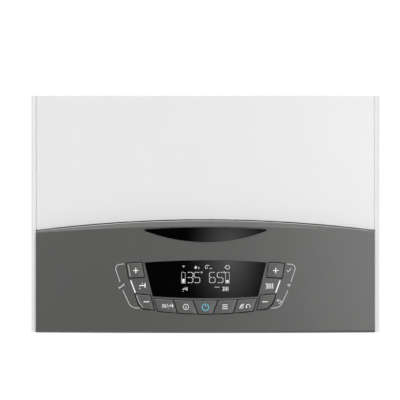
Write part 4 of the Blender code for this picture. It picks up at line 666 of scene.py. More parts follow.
def polygon(sides, turn=0.0):
    angles = [turn + 2 * pi * index / sides for index in range(sides)]
    return [(cos(angle), sin(angle)) for angle in angles]


def fluted(flutes, depth, steps):
    """A round outline of radius 1 with finger grooves."""
    points = []
    for index in range(flutes * steps):
        reach = 1 - depth * max(0.0, cos(2 * pi * index / steps)) ** 0.6
        angle = 2 * pi * index / (flutes * steps)
        points.append((reach * cos(angle), reach * sin(angle)))
    return points


def rounded(wide, tall, radius, count=7):
    """An outline of a rectangle with round corners."""
    points = []
    for quarter, (x, y) in enumerate(((1, 1), (-1, 1), (-1, -1), (1, -1))):
        middle = (x * (wide / 2 - radius), y * (tall / 2 - radius))
        points += arc(middle, radius, 90 * quarter, 90 * quarter + 90, count)
    return points


def ribs(count, profile, base, radius, forward=True, sides=2):
    """Round ribs set evenly about an axis, each along a profile of (distance, height)."""
    made = []
    for step in range(count):
        points = [base + polar(away, 2 * pi * step / count, height, forward) for away, height in profile]
        made.append(strand(points, radius, sides=sides))
    return made


def screw(place, direction, radius, tall):
    """A bmesh: a domed head with a hexagon socket, pointing along the direction."""
    dome = ((0.5, 1.0), (0.75, 0.92), (0.95, 0.55), (1.0, 0.0))
    form = turned([(radius * away, tall * high) for away, high in dome], (0, 0, 0), steps=24)
    rim = [edge for edge in form.edges if edge.is_boundary and edge.verts[0].co.z > tall * 0.9]
    socket = bmesh.ops.create_circle(form, segments=6, radius=radius * 0.42)["verts"]
    bmesh.ops.translate(form, verts=socket, vec=(0, 0, tall))
    ring = edges_of(socket)
    bmesh.ops.bridge_loops(form, edges=rim + ring)
    low = only(bmesh.types.BMVert, bmesh.ops.extrude_edge_only(form, edges=ring)["geom"])
    bmesh.ops.translate(form, verts=low, vec=(0, 0, -tall * 0.7))
    bmesh.ops.contextual_create(form, geom=low)
    return aimed(form, place, direction)


def screws(name, places, direction, radius, tall):
    forms = [screw(place, direction, radius, tall) for place in places]
    piece(name, merged(*forms), STEEL, "casing", merge=False)


# Marks on the control panel, in millimetres from the panel's middle and the casing's lower edge


def marks(name, finish, body, proud, lines, fills=()):
    """Printed or lit marks of one colour, laid on the crowned face; some of them are painted highlights or
    painted shade.
    """
    forms = []
    for width, points, *closed in lines:
        path = [Vector((x / 1000, 0, z / 1000)) for x, z in points]
        form = strand(path, width / 2000, bool(closed), 1)
        for vert in form.verts:
            vert.co.y *= 2 * INK_THICK / (width / 1000)
        forms.append(form)
    for outline in fills:
        form = sheet_shape(mm(*outline))
        bmesh.ops.solidify(form, geom=form.faces, thickness=2 * INK_THICK)
        for vert in form.verts:
            vert.co = Vector((vert.co.x, -INK_THICK if vert.co.z > 1e-7 else INK_THICK, vert.co.y))
        bmesh.ops.recalc_face_normals(form, faces=form.faces)
        forms.append(form)
    whole = merged(*forms)
    for vert in whole.verts:
        vert.co = placed(vert.co.x, vert.co.y + face_y(vert.co.x) - proud, vert.co.z)
    piece(name, whole, finish, body, merge=False)


def mirrored(shape):
    return [(-x, z) for x, z in reversed(shape)]


def around(points, across, along, size):
    return [(across + x * size, along + z * size) for x, z in points]


# Seven segments in a cell, each of which is a pair of dashes, and the size of a digit on the display
CELL_WIDE, CELL_TALL = 7, 14
SEGMENTS = {
    "top": ((0.8, 14), (6.2, 14)),
    "middle": ((0.8, 7), (6.2, 7)),
    "foot": ((0.8, 0), (6.2, 0)),
    "upper_left": ((0, 13.2), (0, 7.8)),
    "upper_right": ((7, 13.2), (7, 7.8)),
    "lower_left": ((0, 6.2), (0, 0.8)),
    "lower_right": ((7, 6.2), (7, 0.8)),
}
DIGITS = {
    "3": ("top", "middle", "foot", "upper_right", "lower_right"),
    "5": ("top", "middle", "foot", "upper_left", "lower_right"),
    "6": ("top", "middle", "foot", "upper_left", "lower_left", "lower_right"),
}
DASHES = ((0.0, 0.39), (0.61, 1.0))
DIGIT_FOOT, DIGIT_WIDE, DIGIT_TALL, DIGIT_LINE = 57.6, 6.4, 11.7, 0.76


def digit(figure, left):
    lines = []
    for segment in DIGITS[figure]:
        (x0, z0), (x1, z1) = SEGMENTS[segment]
        for dash in DASHES:
            ends = []
            for share in dash:
                x = (x0 + (x1 - x0) * share) * DIGIT_WIDE / CELL_WIDE
                z = (z0 + (z1 - z0) * share) * DIGIT_TALL / CELL_TALL
                ends.append((left + x, DIGIT_FOOT + z))
            lines.append((DIGIT_LINE, ends))
    return lines


def flame(across, along, size):
    right = [(0.1, 2.6), (0.9, 1.5), (1.7, 0.4), (1.9, -0.9), (1.2, -2.1), (0, -2.6)]
    left = [(-1.2, -2.1), (-1.8, -0.8), (-1.3, 0.4), (-0.7, -0.3), (-0.5, 1.2)]
    return around(right + left, across, along, size)


def tap(across, along, size=1.0):
    """A tap seen from the side: lines of its body with the spout, wall plate, handle and a drop."""
    body = [(3.2, 0.0), (-2.1, 0.0), (-2.8, -0.3), (-3.0, -1.0)]
    shapes = [(1.35, body), (1.15, [(3.2, 2.7), (3.2, -2.5)]), (1.3, [(-0.2, 2.5), (0.6, 2.5)])]
    shapes.append((1.2, [(-2.8, -2.9), (-2.7, -3.9)]))
    return [(width * size, around(points, across, along, size)) for width, points in shapes]


def radiator(across, along, size, columns=4):
    """A column radiator with its two feeds."""
    pitch = 1.95
    places = [(index - (columns - 1) / 2) * pitch + 0.8 for index in range(columns)]
    shapes = [(0.86, [(x, -2.7), (x, 2.7)]) for x in places]
    shapes += [(0.7, [(places[0] - 1.7, z), (places[0], z)]) for z in (2.2, -2.2)]
    return [(width * size, around(points, across, along, size)) for width, points in shapes]


def waves(across, along, size):
    """Three arcs over a dot."""
    shapes = [(0.75, arc((0, -1.9), radius, 48, 132, 9)) for radius in (1.5, 2.9, 4.3)]
    shapes.append((1.1, [(0, -1.9), (0, -1.7)]))
    return [(width * size, around(points, across, along, size)) for width, points in shapes]


def panel_marks():
    """What is printed on the fascia: brackets of the touch areas, their signs, slashes, tap and radiator."""
    top = [(-92.6, 78.9), (-98.6, 78.3), (-100.9, 77.2), (-102.3, 74.6), (-102.2, 72.6), (-97.4, 58.3)]
    foot = [(-94.0, 48.7), (-88.6, 36.9), (-86.6, 32.8), (-84.0, 30.2), (-80.4, 28.9), (-75.0, 28.5)]
    thin = [(0.72, bracket) for bracket in (top, foot, mirrored(top), mirrored(foot))]
    thin += [(1.1, [(-97.9, 51.6), (-96.3, 52.6), (-94.6, 54.0), (-93.0, 55.3)])]
    thin += [(0.9, [(-98.9, 52.6), (-97.9, 51.6), (-98.2, 50.4)])]
    thin += [(0.9, [(-92.9, 56.4), (-93.6, 55.0), (-92.2, 54.4)])]
    thin += waves(95.3, 53.8, 0.8)
    thin += [(0.9, [(92.6, 71.6), (94.4, 69.9), (97.6, 73.9)])]
    thin += [(0.8, [(81.6, 37.2), (85.2, 37.2), (86.4, 36.2), (86.2, 34.9), (84.9, 34.2), (83.4, 34.2)])]
    thin += [(0.8, [(82.9, 38.6), (81.4, 37.2), (82.9, 35.9)])]
    marks("printed_touch_areas", GREY_INK, "control_panel", INK_THICK * 2, thin)
    bold = [(1.5, [(side * 85.1, 60.2), (side * 79.9, 46.0)]) for side in (-1, 1)]
    bold += tap(-72.0, 54.4) + radiator(72.6, 53.7, 1.08)
    marks("printed_signs", WHITE_INK, "control_panel", INK_THICK * 2, bold)


def key_marks():
    """What is printed on the keys, and painted highlights along the left edges of the left plus and minus
    keys.
    """
    proud = KEY_PROUD + INK_THICK
    for hand, plus_x, minus_x in (("left", -79.3, -67.3), ("right", 80.0, 67.9)):
        x, z = plus_x, 71.4
        cross = [(1.0, [(x - 3.1, z), (x + 3.1, z)]), (1.0, [(x, z - 3.1), (x, z + 3.1)])]
        marks(f"{hand}_plus_sign", WHITE_INK, f"{hand}_plus_key", proud, cross)
        x, z = minus_x, 35.8
        bar = [(1.1, [(x - 3.2, z), (x + 3.2, z)])]
        marks(f"{hand}_minus_sign", WHITE_INK, f"{hand}_minus_key", proud, bar)
    # Pale lines inside the left edges of the left plus and minus keys are painted highlights, where those
    # edges would catch the light from the left.
    edge = [(0.85, [(-88.2, 78.1), (-85.5, 64.6)])]
    marks("left_plus_painted_highlight", PAINTED_HIGHLIGHT, "left_plus_key", proud, edge)
    edge = [(0.85, [(-78.4, 43.0), (-76.0, 36.0), (-73.2, 31.7), (-71.2, 29.3)])]
    marks("left_minus_painted_highlight", PAINTED_HIGHLIGHT, "left_minus_key", proud, edge)
    mode = radiator(-47.6, 31.2, 0.72, 3) + tap(-39.6, 31.2, 0.72)
    mode += [(0.6, [(-44.3, 28.8), (-42.9, 33.6)])]
    marks("mode_sign", WHITE_INK, "heating_mode_key", proud, mode)
    info = [(0.7, arc((-22.2, 30.0), 3.0, 0, 340, 24), True), (1.0, [(-22.2, 28.5), (-22.2, 30.3)])]
    info += [(1.0, [(-22.2, 31.6), (-22.2, 31.75)])]
    marks("information_sign", WHITE_INK, "information_key", proud, info)
    power = [(1.3, arc((0.0, 29.6), 3.6, 118, 422, 32)), (1.3, [(0.0, 30.6), (0.0, 34.2)])]
    marks("power_sign", BLUE_GLOW, "on_off_key", proud, power)
    menu = [(0.9, [(19.2, z), (25.2, z)]) for z in (28.0, 30.2, 32.4)]
    marks("menu_sign", WHITE_INK, "menu_key", proud, menu)
    reset = [(0.7, flame(41.2, 30.9, 0.95), True), (0.8, [(38.4, 28.4), (44.0, 33.6)])]
    reset += [(0.8, arc((48.6, 30.7), 2.2, -40, 230, 20)), (0.7, [(45.6, 30.0), (46.7, 29.0), (47.9, 30.1)])]
    marks("reset_sign", WHITE_INK, "reset_key", proud, reset)


def display_marks():
    """What the display shows."""
    lines = digit("3", -20.7) + digit("5", -12.8) + digit("6", 4.6) + digit("5", 13.5)
    for x in (-4.4, 21.4):
        lines.append((0.5, arc((x, 69.3), 0.75, 0, 330, 12), True))
    for left, right in ((-27.2, -22.9), (22.9, 27.2)):
        frame_line = [(left, 57.0), (right, 57.0), (right, 68.9), (left + 1.2, 69.7), (left, 68.9)]
        lines.append((0.45, frame_line, True))
    lines += waves(-24.9, 75.6, 0.5)
    lines += [(0.6, [(-8.6, z), (-7.0, z)]) for z in (73.6, 75.2)]
    lines += [(0.6, [(0.6, 77.2), (0.0, 76.2), (0.0, 73.8), (1.8, 73.8), (2.2, 75.6)])]
    lines += [(0.6, [(0.8, 77.3), (4.2, 77.3)]), (0.6, [(4.6, 73.7), (7.6, 73.7)])]
    lines += [(0.65, arc((25.2, 75.2), 2.2, -150, 170, 20))]
    lines += [(0.65, [(21.6, 75.2), (22.9, 74.2), (23.5, 76.0)])]
    lines += tap(-23.4, 50.4, 0.75)
    lines += [(0.5, [(10.4, 52.0), (11.6, 53.0), (12.6, 52.0), (13.8, 53.0), (14.8, 52.0), (16.0, 53.0)])]
    lines += radiator(22.4, 50.5, 0.86)
    fills = [flame(-11.2, 75.2, 0.72)]
    fills += [[(-26.4, 57.6), (-23.7, 57.6), (-23.7, 61.9), (-26.4, 61.9)]]
    fills += [[(23.6, 57.6), (26.4, 57.6), (26.4, 60.5), (23.6, 60.5)]]
    marks("display_figures", GLOW, "control_panel", INK_THICK, lines, fills)


# Trim of the front, with a painted highlight and painted shade


def between(points, share):
    """A point on a line of evenly numbered points, with the share from 0 to 1."""
    place = share * (len(points) - 1)
    index = min(int(place), len(points) - 2)
    return points[index].lerp(points[index + 1], place - index)


def crowned_slab(top, foot, front, back):
    """A bmesh: a slab that follows the panel's crown between an upper and a lower line of points."""
    form = bmesh.new()
    bmesh.ops.create_grid(form, x_segments=96, y_segments=10, size=0.5)
    for vert in form.verts:
        share = vert.co.x + 0.5
        spot = between(foot, share).lerp(between(top, share), vert.co.y + 0.5)
        vert.co = placed(spot.x, face_y(spot.x) + front, spot.y)
    raised = bmesh.ops.extrude_face_region(form, geom=form.faces)["geom"]
    for vert in only(bmesh.types.BMVert, raised):
        vert.co.y += back - front
    bmesh.ops.recalc_face_normals(form, faces=form.faces)
    return form


def window_line(half, middle, drop):
    shares = [-1 + step / 16 for step in range(33)]
    return [Vector((share * half, middle - drop * share**2)) for share in shares]


def control_glass():
    """The display's black window with the lip behind it, and the bare badge plate."""
    top, foot = window_line(0.0692, 0.0829, 0.0025), window_line(0.0600, 0.0400, -0.0021)
    lip_top, lip_foot = window_line(0.0700, 0.0838, 0.0025), window_line(0.0608, 0.0391, -0.0021)
    glass = merged(crowned_slab(top, foot, 0.0001, 0.0028), crowned_slab(lip_top, lip_foot, 0.0028, 0.0040))
    top, foot = window_line(0.0692, 0.1208, 0.0023), window_line(0.0692, 0.1038, -0.0127)
    plate = crowned_slab(top, foot, -0.0003, 0.0012)
    remade.update(("display_window", "badge_plate"))
    piece("black_display_window", glass, BLACK, "control_panel", ("display_window",), 0.00012)
    piece("bare_badge", plate, BLACK, "control_panel", ("badge_plate",), 0.0002)


def fascia_lip():
    """The thin bead along the fascia's arched upper edge, pale as a painted highlight of the light that edge
    would catch.
    """
    radius, reach = 0.0006, PANEL_HALF - 0.0012
    front, lowered = COVER_FRONT - 0.0013, 0.0009
    places = [reach * (-1 + step / 60) for step in range(121)]
    points = [placed(x, front, fascia_top(x) - lowered) for x in places]
    piece("fascia_painted_highlight_bead", strand(points, radius), PAINTED_HIGHLIGHT, "control_panel", sharp=60)


def seam_seals():
    """The pale sealing strips in the gaps beside the cover."""
    inner, outer = PANEL_HALF + 0.00012, CASE_HALF - 0.0056
    front, rear, foot, top = COVER_FRONT + 0.00008, -0.2960, 0.1185, CASE_TALL - 0.004
    for side, hand in ((-1, "left"), (1, "right")):
        left, right = sorted((side * inner, side * outer))
        seal = boxed((left, front, foot), (right, rear, top), 0.0001, 2)
        piece(f"{hand}_seam_seal", seal, PAINT, "casing")


def key_skirts():
    """Black bands of painted shade round each key, for the shadow in its gap, wider round the plus and minus
    keys.
    """
    face_depth, clearance = 0.0002, 0.1
    for node in sorted(name for name in frame["nodes"] if name.endswith("_key")):
        spots = [vert.co for vert in frame["nodes"][node].data.vertices]
        front = [(spot.x, spot.z + RAISE) for spot in spots if spot.y < face_y(spot.x) + face_depth]
        outline = [Vector(front[index]) * 1000 for index in convex_hull_2d(front)]
        middle = sum(outline, Vector((0, 0))) / len(outline)
        width = 1.3 if "plus" in node or "minus" in node else 0.95
        away = width / 2 + clearance
        ring = [tuple(point + (point - middle).normalized() * away) for point in outline]
        marks(node + "_skirt", GAP_SHADE, "control_panel", INK_THICK, [(width, ring, True)])


# Pieces of the casing's top and underside, and of the works inside


def flue_pieces():
    """The collar with its beaded rim and flange, its lip seal and screws, and the tube inside it."""
    base = placed(0, -FLUE_DEPTH, 0)
    collar = mm((53, 785), (53, 779.5), (52.6, 778.8), (50.5, 777), (50, 775.8), (50, 763), (50.8, 762.2))
    collar += mm((50.8, 760), (50, 759.2), (50, 752), (50.6, 749.4), (52, 748.5), (64.2, 748.3), (65, 747.5))
    collar += mm((65, 745.3), (50, 745.3), (50, 719), (48, 719), (48, 785))
    own("flue_collar", turned(collar, base, steps=120, closed=True), bevel=0.0003, sharp=30)
    seal = mm((47.9, 781.5), (47.9, 772.5), (46.2, 773), (44.8, 775.2), (44.6, 775.8), (46.2, 774.5))
    seal += mm((46.6, 777), (45, 779.5), (46.2, 779.5), (46.8, 781.5))
    piece("flue_lip_seal", turned(seal, base, steps=96, closed=True), RUBBER, "casing")
    places = [base + polar(0.0580, eighth * pi / 4, 0.7484) for eighth in (1, 3, -1, -3)]
    screws("flue_collar_screws", places, UP, 0.0034, 0.0022)
    tube = mm((31.5, 785), (31.5, 770), (31, 769), (31.5, 768), (31.5, 650.3), (30, 650.3), (30, 784))
    tube += mm((30.5, 785))
    own("flue_inner_tube", turned(tube, base, steps=96, closed=True), STEEL)
    base = placed(0.120, -FLUE_DEPTH, 0)
    cap = mm((0, 747.8), (18.5, 747.8), (19, 747.3), (20, 747.3), (20.5, 747.8), (26.2, 747.8), (28, 746.5))
    cap += mm((28, 745.3), (22, 745.3), (22, 737), (21.2, 736.3), (0, 736.3))
    own("air_intake_cap", turned(cap, base, steps=80), bevel=0.0002)
    places = [base + Vector((0.0240 * side, 0, 0.74705)) for side in (-1, 1)]
    screws("air_cap_screws", places, UP, 0.0020, 0.0007)


def connectors():
    """Threaded tails under the plate, with hexagon collars above it."""
    names = ("heating_flow", "hot_water", "gas", "cold_water", "heating_return")
    foot, plate, top = 0.0350, 0.0503, 0.0847
    for index, name in enumerate(names):
        bore, radius, pitch = ((0.0080, 0.0120, 0.0018), (0.0055, 0.0090, 0.0014))[index % 2]
        root = radius - pitch * 0.55
        profile = [(bore, foot), (radius - 0.0022, foot), (radius - 0.0010, foot + 0.0008)]
        low = foot + 0.0014
        while low < 0.0480:
            profile += [(radius, low), (radius, low + pitch * 0.12)]
            profile += [(root, low + pitch * 0.5), (root, low + pitch * 0.62)]
            low += pitch
        profile += [(radius, plate), (radius, top), (bore, top)]
        base = placed((index - 2) * PIPE_PITCH, -PIPE_DEPTH, 0)
        tail = turned(profile, base, steps=64, closed=True)
        reach = radius + 0.0050
        levels = ((0.93, 0), (1.0, 0.0008), (1.0, 0.0053), (0.93, 0.0060))
        nut = drawn(polygon(6, pi / 6), [(reach * size, plate + rise) for size, rise in levels], base)
        own(f"{name}_connector", merged(tail, nut), bevel=0.00015, sharp=30)


def number(figure, place):
    """A bmesh: a plain figure that faces down."""
    curve = bpy.data.curves.new("figure " + figure, "FONT")
    curve.body = figure
    curve.size = 0.0042
    curve.align_x = "CENTER"
    curve.align_y = "CENTER"
    curve.resolution_u = 6
    form = curve_mesh(curve)
    turn = Matrix.Rotation(pi, 4, "X")
    bmesh.ops.transform(form, matrix=Matrix.Translation(place) @ turn, verts=form.verts)
    return form


def reading(share):
    """The angle of a share of the gauge's scale, as seen from above."""
    return radians(270 * share - 225)


def gauge():
    """A dial that faces down, with plain figures, a needle and a pane."""
    middle = placed(-0.100, -0.172, 0)
    case = mm((0, 68), (4, 68), (19, 68), (20, 67), (20, 48.2), (23, 48.2), (23, 35.2), (22.2, 34.1))
    case += mm((20.5, 34), (19.2, 35), (19, 36.2), (0, 36.2))
    own("pressure_gauge", turned(case, middle, steps=96), sharp=30)
    face = turned(mm((0, 36.1), (18.8, 36.1), (18.8, 35.8), (0, 35.8)), middle)
    piece("gauge_dial", face, PALE, "casing")
    scale = []
    for index in range(21):
        near, half_line = (0.0140, 0.00022) if index % 5 else (0.0128, 0.0004)
        ends = [polar(away, reading(index / 20)) for away in (near, 0.0160)]
        scale.append(strand(ends, half_line, sides=1))
    for vert in [vert for form in scale for vert in form.verts]:
        vert.co = Vector((vert.co.x, vert.co.y, vert.co.z * 0.2)) + middle + Vector((0, 0, 0.03575))
    scale += [number(str(index), middle + polar(0.0105, reading(index / 4), 0.03572)) for index in range(5)]
    piece("gauge_scale", merged(*scale), DARK, "casing", merge=False)
    ends = [middle + polar(away, reading(0.36), 0.0351) for away in (-0.0045, 0.0142)]
    needle = strand(ends, 0.00035, sides=2)
    hub = turned(mm((0, 34.7), (1.8, 34.8), (2, 35.8), (0, 35.8)), middle, steps=32)
    piece("gauge_needle", merged(needle, hub), RED, "casing")
    pane = turned(mm((0, 34.6), (19, 34.6), (19, 34.3), (0, 34.3)), middle)
    piece("gauge_pane", pane, PANE, "casing")


def trap():
    """The condensate trap: a ribbed cup screwed to a smooth body, with a hose spigot at both ends."""
    base = placed(0, -0.058, 0)
    body = mm((0, 206), (9, 206), (9, 199), (8.2, 198.5), (8.2, 196), (9, 195.5), (9, 190.5), (10, 190))
    body += mm((22.4, 190), (27, 188), (28, 184), (28, 50.3), (21, 50.3), (21, 48), (0, 48))
    cup = drawn(fluted(16, 0.055, 6), mm((20.5, 48.5), (21, 47.8), (21, 40.2), (19.8, 38)), base)
    spigot = mm((0, 40), (11.6, 39.5), (11.6, 33), (10.8, 32.5), (10.8, 30), (11.6, 29.5), (11.2, 26.2))
    spigot += mm((8.5, 26), (8.5, 33), (0, 33))
    whole = merged(turned(body, base, steps=80), cup, turned(spigot, base, steps=48))
    own("condensate_trap", whole, bevel=0.0003, sharp=30)


def knob(node, finish, base, direction, crown, stem_foot):
    """A fluted knob on its stem, its crown and the stem's foot in millimetres."""
    head = drawn(fluted(6, 0.16, 12), mm((10.2, 0), (11, 1), *crown), base, direction)
    stem = turned(mm((0, stem_foot), (4, stem_foot), (4, 0.4), (0, 0.4)), base, direction, 32)
    own(node, merged(head, stem), finish, 0.0002, 30)


def knobs():
    crown = ((11, 18.5), (10.1, 21.2), (8.5, 22))
    knob("filling_tap_knob", DARK, placed(0.0335, -PIPE_DEPTH, 0.0445), DOWN, crown, -40.2)
    crown = ((11, 12.5), (10.1, 14.8), (8.5, 15.4))
    knob("safety_valve_knob", RED, placed(0.140, -0.1603, 0.118), FORWARD, crown, -3)


def vessel():
    """Two pressed domes with a rolled seam."""
    angles = [pi / 2 * step / 12 for step in range(13)]
    dome = [(0.1224 + 0.0436 * sin(angle), 0.0560 + 0.0300 * cos(angle)) for angle in angles]
    seam = mm((166, 48), (169, 46.8), (170, 45), (170, 41), (169, 39.2), (166, 38))
    rear = [(radius, 0.0860 - height) for radius, height in reversed(dome)]
    profile = [(0, 0.0852), (0.0400, 0.0860), *dome, *seam, *rear, (0, 0)]
    own("expansion_vessel", turned(profile, placed(0, -0.0075, 0.515), FORWARD, 144), sharp=50)


def exchanger():
    """The windings of the coil, and the burner with its door."""
    base = placed(-0.040, -0.0993, 0.515)
    pitch = 0.0121
    windings = []
    for turn in range(10):
        middle = 0.0046 + pitch * (turn + 0.5)
        oval = arc((0.0995, middle), 0.0052, -90, 90, 9) + arc((0.0680, middle), 0.0052, 90, 270, 9)
        windings.append(turned(oval, base, FORWARD, 96, closed=True))
    own("exchanger_coil", merged(*windings), STEEL, sharp=50)
    base = base + Vector((0, -0.1263, 0))
    plate = mm((0, 11), (86, 11), (89.6, 10.4), (95, 7.4), (96.3, 6.6), (110.8, 6.6), (112, 5.5), (112, 0))
    plate += mm((34.5, 0), (34.5, -3), (0, -3))
    riser = boxed((-0.070, -0.2646, 0.485), (-0.010, -0.2340, 0.596), 0.008, 5)
    duct = boxed((-0.050, -0.2646, 0.564), (0.0647, -0.2340, 0.596), 0.0045, 4)
    mouth = boxed((0.0600, -0.2650, 0.5604), (0.0647, -0.2300, 0.5996), 0.0015, 3)
    rays = ribs(16, mm((40, 10.8), (84, 10.8)), base, 0.0014, sides=3)
    door = merged(turned(plate, base, FORWARD, 128), riser, duct, mouth, *rays)
    own("burner_door", door, bevel=0.0004, sharp=32)
    burner = mm((34, -3), (34, -86), (32.5, -89), (30, -90), (0, -90))
    piece("burner_tube", turned(burner, base, FORWARD, 96), PERFORATED, "casing")
    nuts = []
    for step in range(6):
        spot = base + polar(0.1035, pi / 6 + 2 * pi * step / 6, 0.0066, forward=True)
        nuts.append(drawn(polygon(6), mm((5.8, 0), (6.2, 0.6), (6.2, 4.4), (5.6, 5.2)), spot, FORWARD))
        nuts.append(turned(mm((3, 5), (3, 8.6), (2.4, 9.4), (0, 9.4)), spot, FORWARD, 24))
    piece("burner_door_nuts", merged(*nuts), STEEL, "casing", bevel=0.0002, sharp=30)


def fan_motor():
    x, y = 0.125, -0.222
    base = placed(x, y, 0.6003)
    case = mm((0, 50), (6, 50), (7, 48.8), (22.5, 48.8), (27, 47), (29.2, 44), (30, 40), (30, 8))
    case += mm((29.2, 7.2), (29.2, 5), (30, 4.2), (30, 0), (3, 0), (3, -32.3), (0, -32.3))
    rib = mm((12, 48.6), (23, 48.2), (28.7, 42.5), (28.7, 12))
    motor = merged(turned(case, base, steps=96), *ribs(20, rib, base, 0.0011, forward=False))
    own("fan_motor", motor, bevel=0.0002, sharp=32)
    plug = boxed((0.1190, -0.2495, 0.6040), (0.1310, -0.2440, 0.6180), 0.0010, 3)
    piece("fan_plug", plug, PALE, "casing")
    places = [placed(x, y, 0.6000) + polar(0.0400, angle) for angle in (0.4, 1.9, 3.6, 5.2)]
    screws("fan_housing_screws", places, UP, 0.0030, 0.0020)


def pump_motor():
    x, y, height = 0.105, -0.1383, 0.200
    base = placed(x, y, height)
    case = mm((0, 70), (6, 70), (7, 69), (11, 69), (12, 70), (37.4, 70), (40.5, 69), (42.8, 66.2))
    case += mm((44, 61.5), (44, 12), (43.2, 10.5), (40, 9.5), (40, 6), (41.8, 4), (41.8, 0), (0, 0))
    fins = ribs(28, mm((43, 16), (43, 60)), base, 0.0010)
    own("pump_motor", merged(turned(case, base, FORWARD, 112), *fins), bevel=0.0002, sharp=32)
    cap = drawn(polygon(24), mm((10.5, 70), (10.5, 69.8)), base, FORWARD)
    low, high = (x - 0.0007, y - 0.0702, height - 0.0045), (x + 0.0007, y - 0.0696, height + 0.0045)
    piece("pump_vent_cap", merged(cap, boxed(low, high)), STEEL, "casing")


def plate_stack():
    """The plate heat exchanger: pressed plates brazed into a block."""
    plates = 22
    pitch = 0.0700 / plates
    levels = []
    for index in range(plates):
        low = 0.0780 + index * pitch
        levels += [(0.982, low), (1.0, low + 0.0004), (1.0, low + 0.0013), (0.982, low + 0.0017)]
    stack = drawn(rounded(0.190, 0.050, 0.014), levels, placed(0, -0.192, 0))
    own("plate_heat_exchanger", stack, STEEL, sharp=30)


def routed_pipes():
    """The copper pipes, and the corrugated condensate hose."""
    wall, front, over, under = -PIPE_DEPTH, -0.234, 0.515, 0.257
    flow = bent((-0.175, wall, 0.1503), (-0.175, wall, over), (-0.155, wall, over))
    back = bent((0.105, wall, 0.2503), (0.105, wall, over), (0.075, wall, over))
    rise = ((0.139, front, under), (0.139, front, 0.3997))
    gas = bent((0, wall, 0.0850), (0, wall, under), (0, front, under), *rise)
    for name, path, radius in (("flow", flow, 0.009), ("return", back, 0.009), ("gas", gas, 0.0075)):
        own(f"{name}_pipe", strand(path, radius, sides=8), sharp=50)
    path = bent((0, -0.058, 0.2063), (0, -0.058, 0.245), (-0.040, -0.190, 0.245), (-0.040, -0.190, 0.3947))
    fine = [path[0]]
    for before, after in zip(path, path[1:]):
        count = max(1, round((after - before).length / 0.0016))
        fine += [before.lerp(after, (step + 1) / count) for step in range(count)]
    own("condensate_hose", strand(fine, 0.009, sides=6, swell=(1.0, 1.0, 0.9, 0.9)), sharp=60)


def boards():
    """What stands on the two circuit boards."""
    front = -0.2607
    black, pale, tin = [], [], []
    for x, z, half, tall in ((-0.066, 0.062, 6, 20), (-0.066, 0.034, 5, 16), (0.004, 0.066, 4, 12)):
        can = mm((0, tall), (half - 0.4, tall), (half, tall - 0.6), (half, 1.2), (half - 0.4, 0), (0, 0))
        black.append(turned(can, placed(x, front, z), FORWARD, 40))
    for index in range(5):
        x = -0.048 + index * 0.0078
        pale.append(boxed((x, front - 0.0040, 0.064), (x + 0.0055, front, 0.0705), 0.0004, 2))
    for index in range(10):
        spot = placed(0.024 + index * 0.0080, front - 0.0121, 0.0474)
        tin.append(turned(mm((0, 0.6), (1.8, 0.5), (2.2, 0), (0, 0)), spot, FORWARD, 20))
    chips = ((0.030, 0.066, 0.014, 0.014), (0.056, 0.068, 0.010, 0.006), (0.076, 0.066, 0.007, 0.010))
    for x, z, wide, tall in chips:
        low, high = (x, front - 0.0016, z - tall / 2), (x + wide, front, z + tall / 2)
        black.append(boxed(low, high, 0.0003, 2))
    for x in (-0.102, -0.092, -0.086):
        tin.append(boxed((x - 0.0018, front - 0.0050, 0.0200), (x + 0.0018, front, 0.0236), 0.0003, 2))
    piece("board_capacitors_and_chips", merged(*black), DARK, "control_panel", sharp=30)
    piece("board_plugs", merged(*pale), PALE, "control_panel")
    piece("board_terminals", merged(*tin), STEEL, "control_panel", sharp=30)


def fastenings():
    """Screws, rivets and pressed beads that the plain sheets carry."""
    places = [placed(x, y, 0.0485) for y in (-0.192, -0.030) for x in (-0.180, 0.180)]
    screws("connection_plate_screws", places, DOWN, 0.0038, 0.0022)
    places = [placed(x, y, CASE_TALL) for x in (-0.186, 0.186) for y in (-0.030, -0.150, -0.270)]
    screws("top_panel_screws", places, UP, 0.0038, 0.0022)
    heights = (0.060, 0.230, 0.400, 0.570, 0.720)
    places = [placed(x, BACK_SHEET, z) for x in (-0.185, 0.185) for z in heights]
    rivet = mm((0, 1), (1.6, 0.9), (2.6, 0.3), (2.8, 0), (0, 0))
    forms = [turned(rivet, place, BACKWARD, 24) for place in places]
    piece("frame_rivets", merged(*forms), STEEL, "casing")
    levels = [(1.0, 0), (0.985, 0.0008), (0.95, 0.0013)]
    beads = []
    lying = [(0, z, 0.300, 0.016) for z in (0.260, 0.600)]
    standing = [(x, 0.430, 0.016, 0.240) for x in (-0.105, 0.105)]
    for x, z, wide, tall in lying + standing:
        beads.append(drawn(rounded(wide, tall, 0.0079, 9), levels, placed(x, BACK_SHEET, z), BACKWARD))
    piece("frame_beads", merged(*beads), ZINC, "casing", sharp=60)
    places = [placed(x, CHAMBER_FRONT, z) for x in (-0.181, 0.181) for z in (0.290, 0.430, 0.576, 0.716)]
    places += [placed(x, CHAMBER_FRONT, z) for x in (-0.060, 0.060) for z in (0.282, 0.724)]
    screws("chamber_cover_screws", places, FORWARD, 0.0036, 0.0022)
    places = [placed(x, -0.276, z) for x in (0.117, 0.1446) for z in (0.4065, 0.4835)]
    screws("gas_valve_screws", places, FORWARD, 0.0028, 0.0018)


control_glass()
fascia_lip()
seam_seals()
key_skirts()
flue_pieces()
connectors()
gauge()
trap()
knobs()
vessel()
exchanger()
fan_motor()
pump_motor()
plate_stack()
routed_pipes()
boards()
fastenings()

# The other parts keep their own shapes. Their edges are rounded by EDGE_ROUND, or by what stands here.
BEVELS = {
    "front_cover": 0.0004,
    **{f"{hand}_{sign}_key": 0.0007 for hand in ("left", "right") for sign in ("plus", "minus")},
    "fascia": 0.0005,
    "connection_plate": 0.0002,
}
for name in sorted(set(frame["nodes"]) - remade):
    dressed(name, BEVELS.get(name, EDGE_ROUND), sharp=2 if name == "front_cover" else SHARP)

panel_marks()
key_marks()
display_marks()

# Stage, light and camera


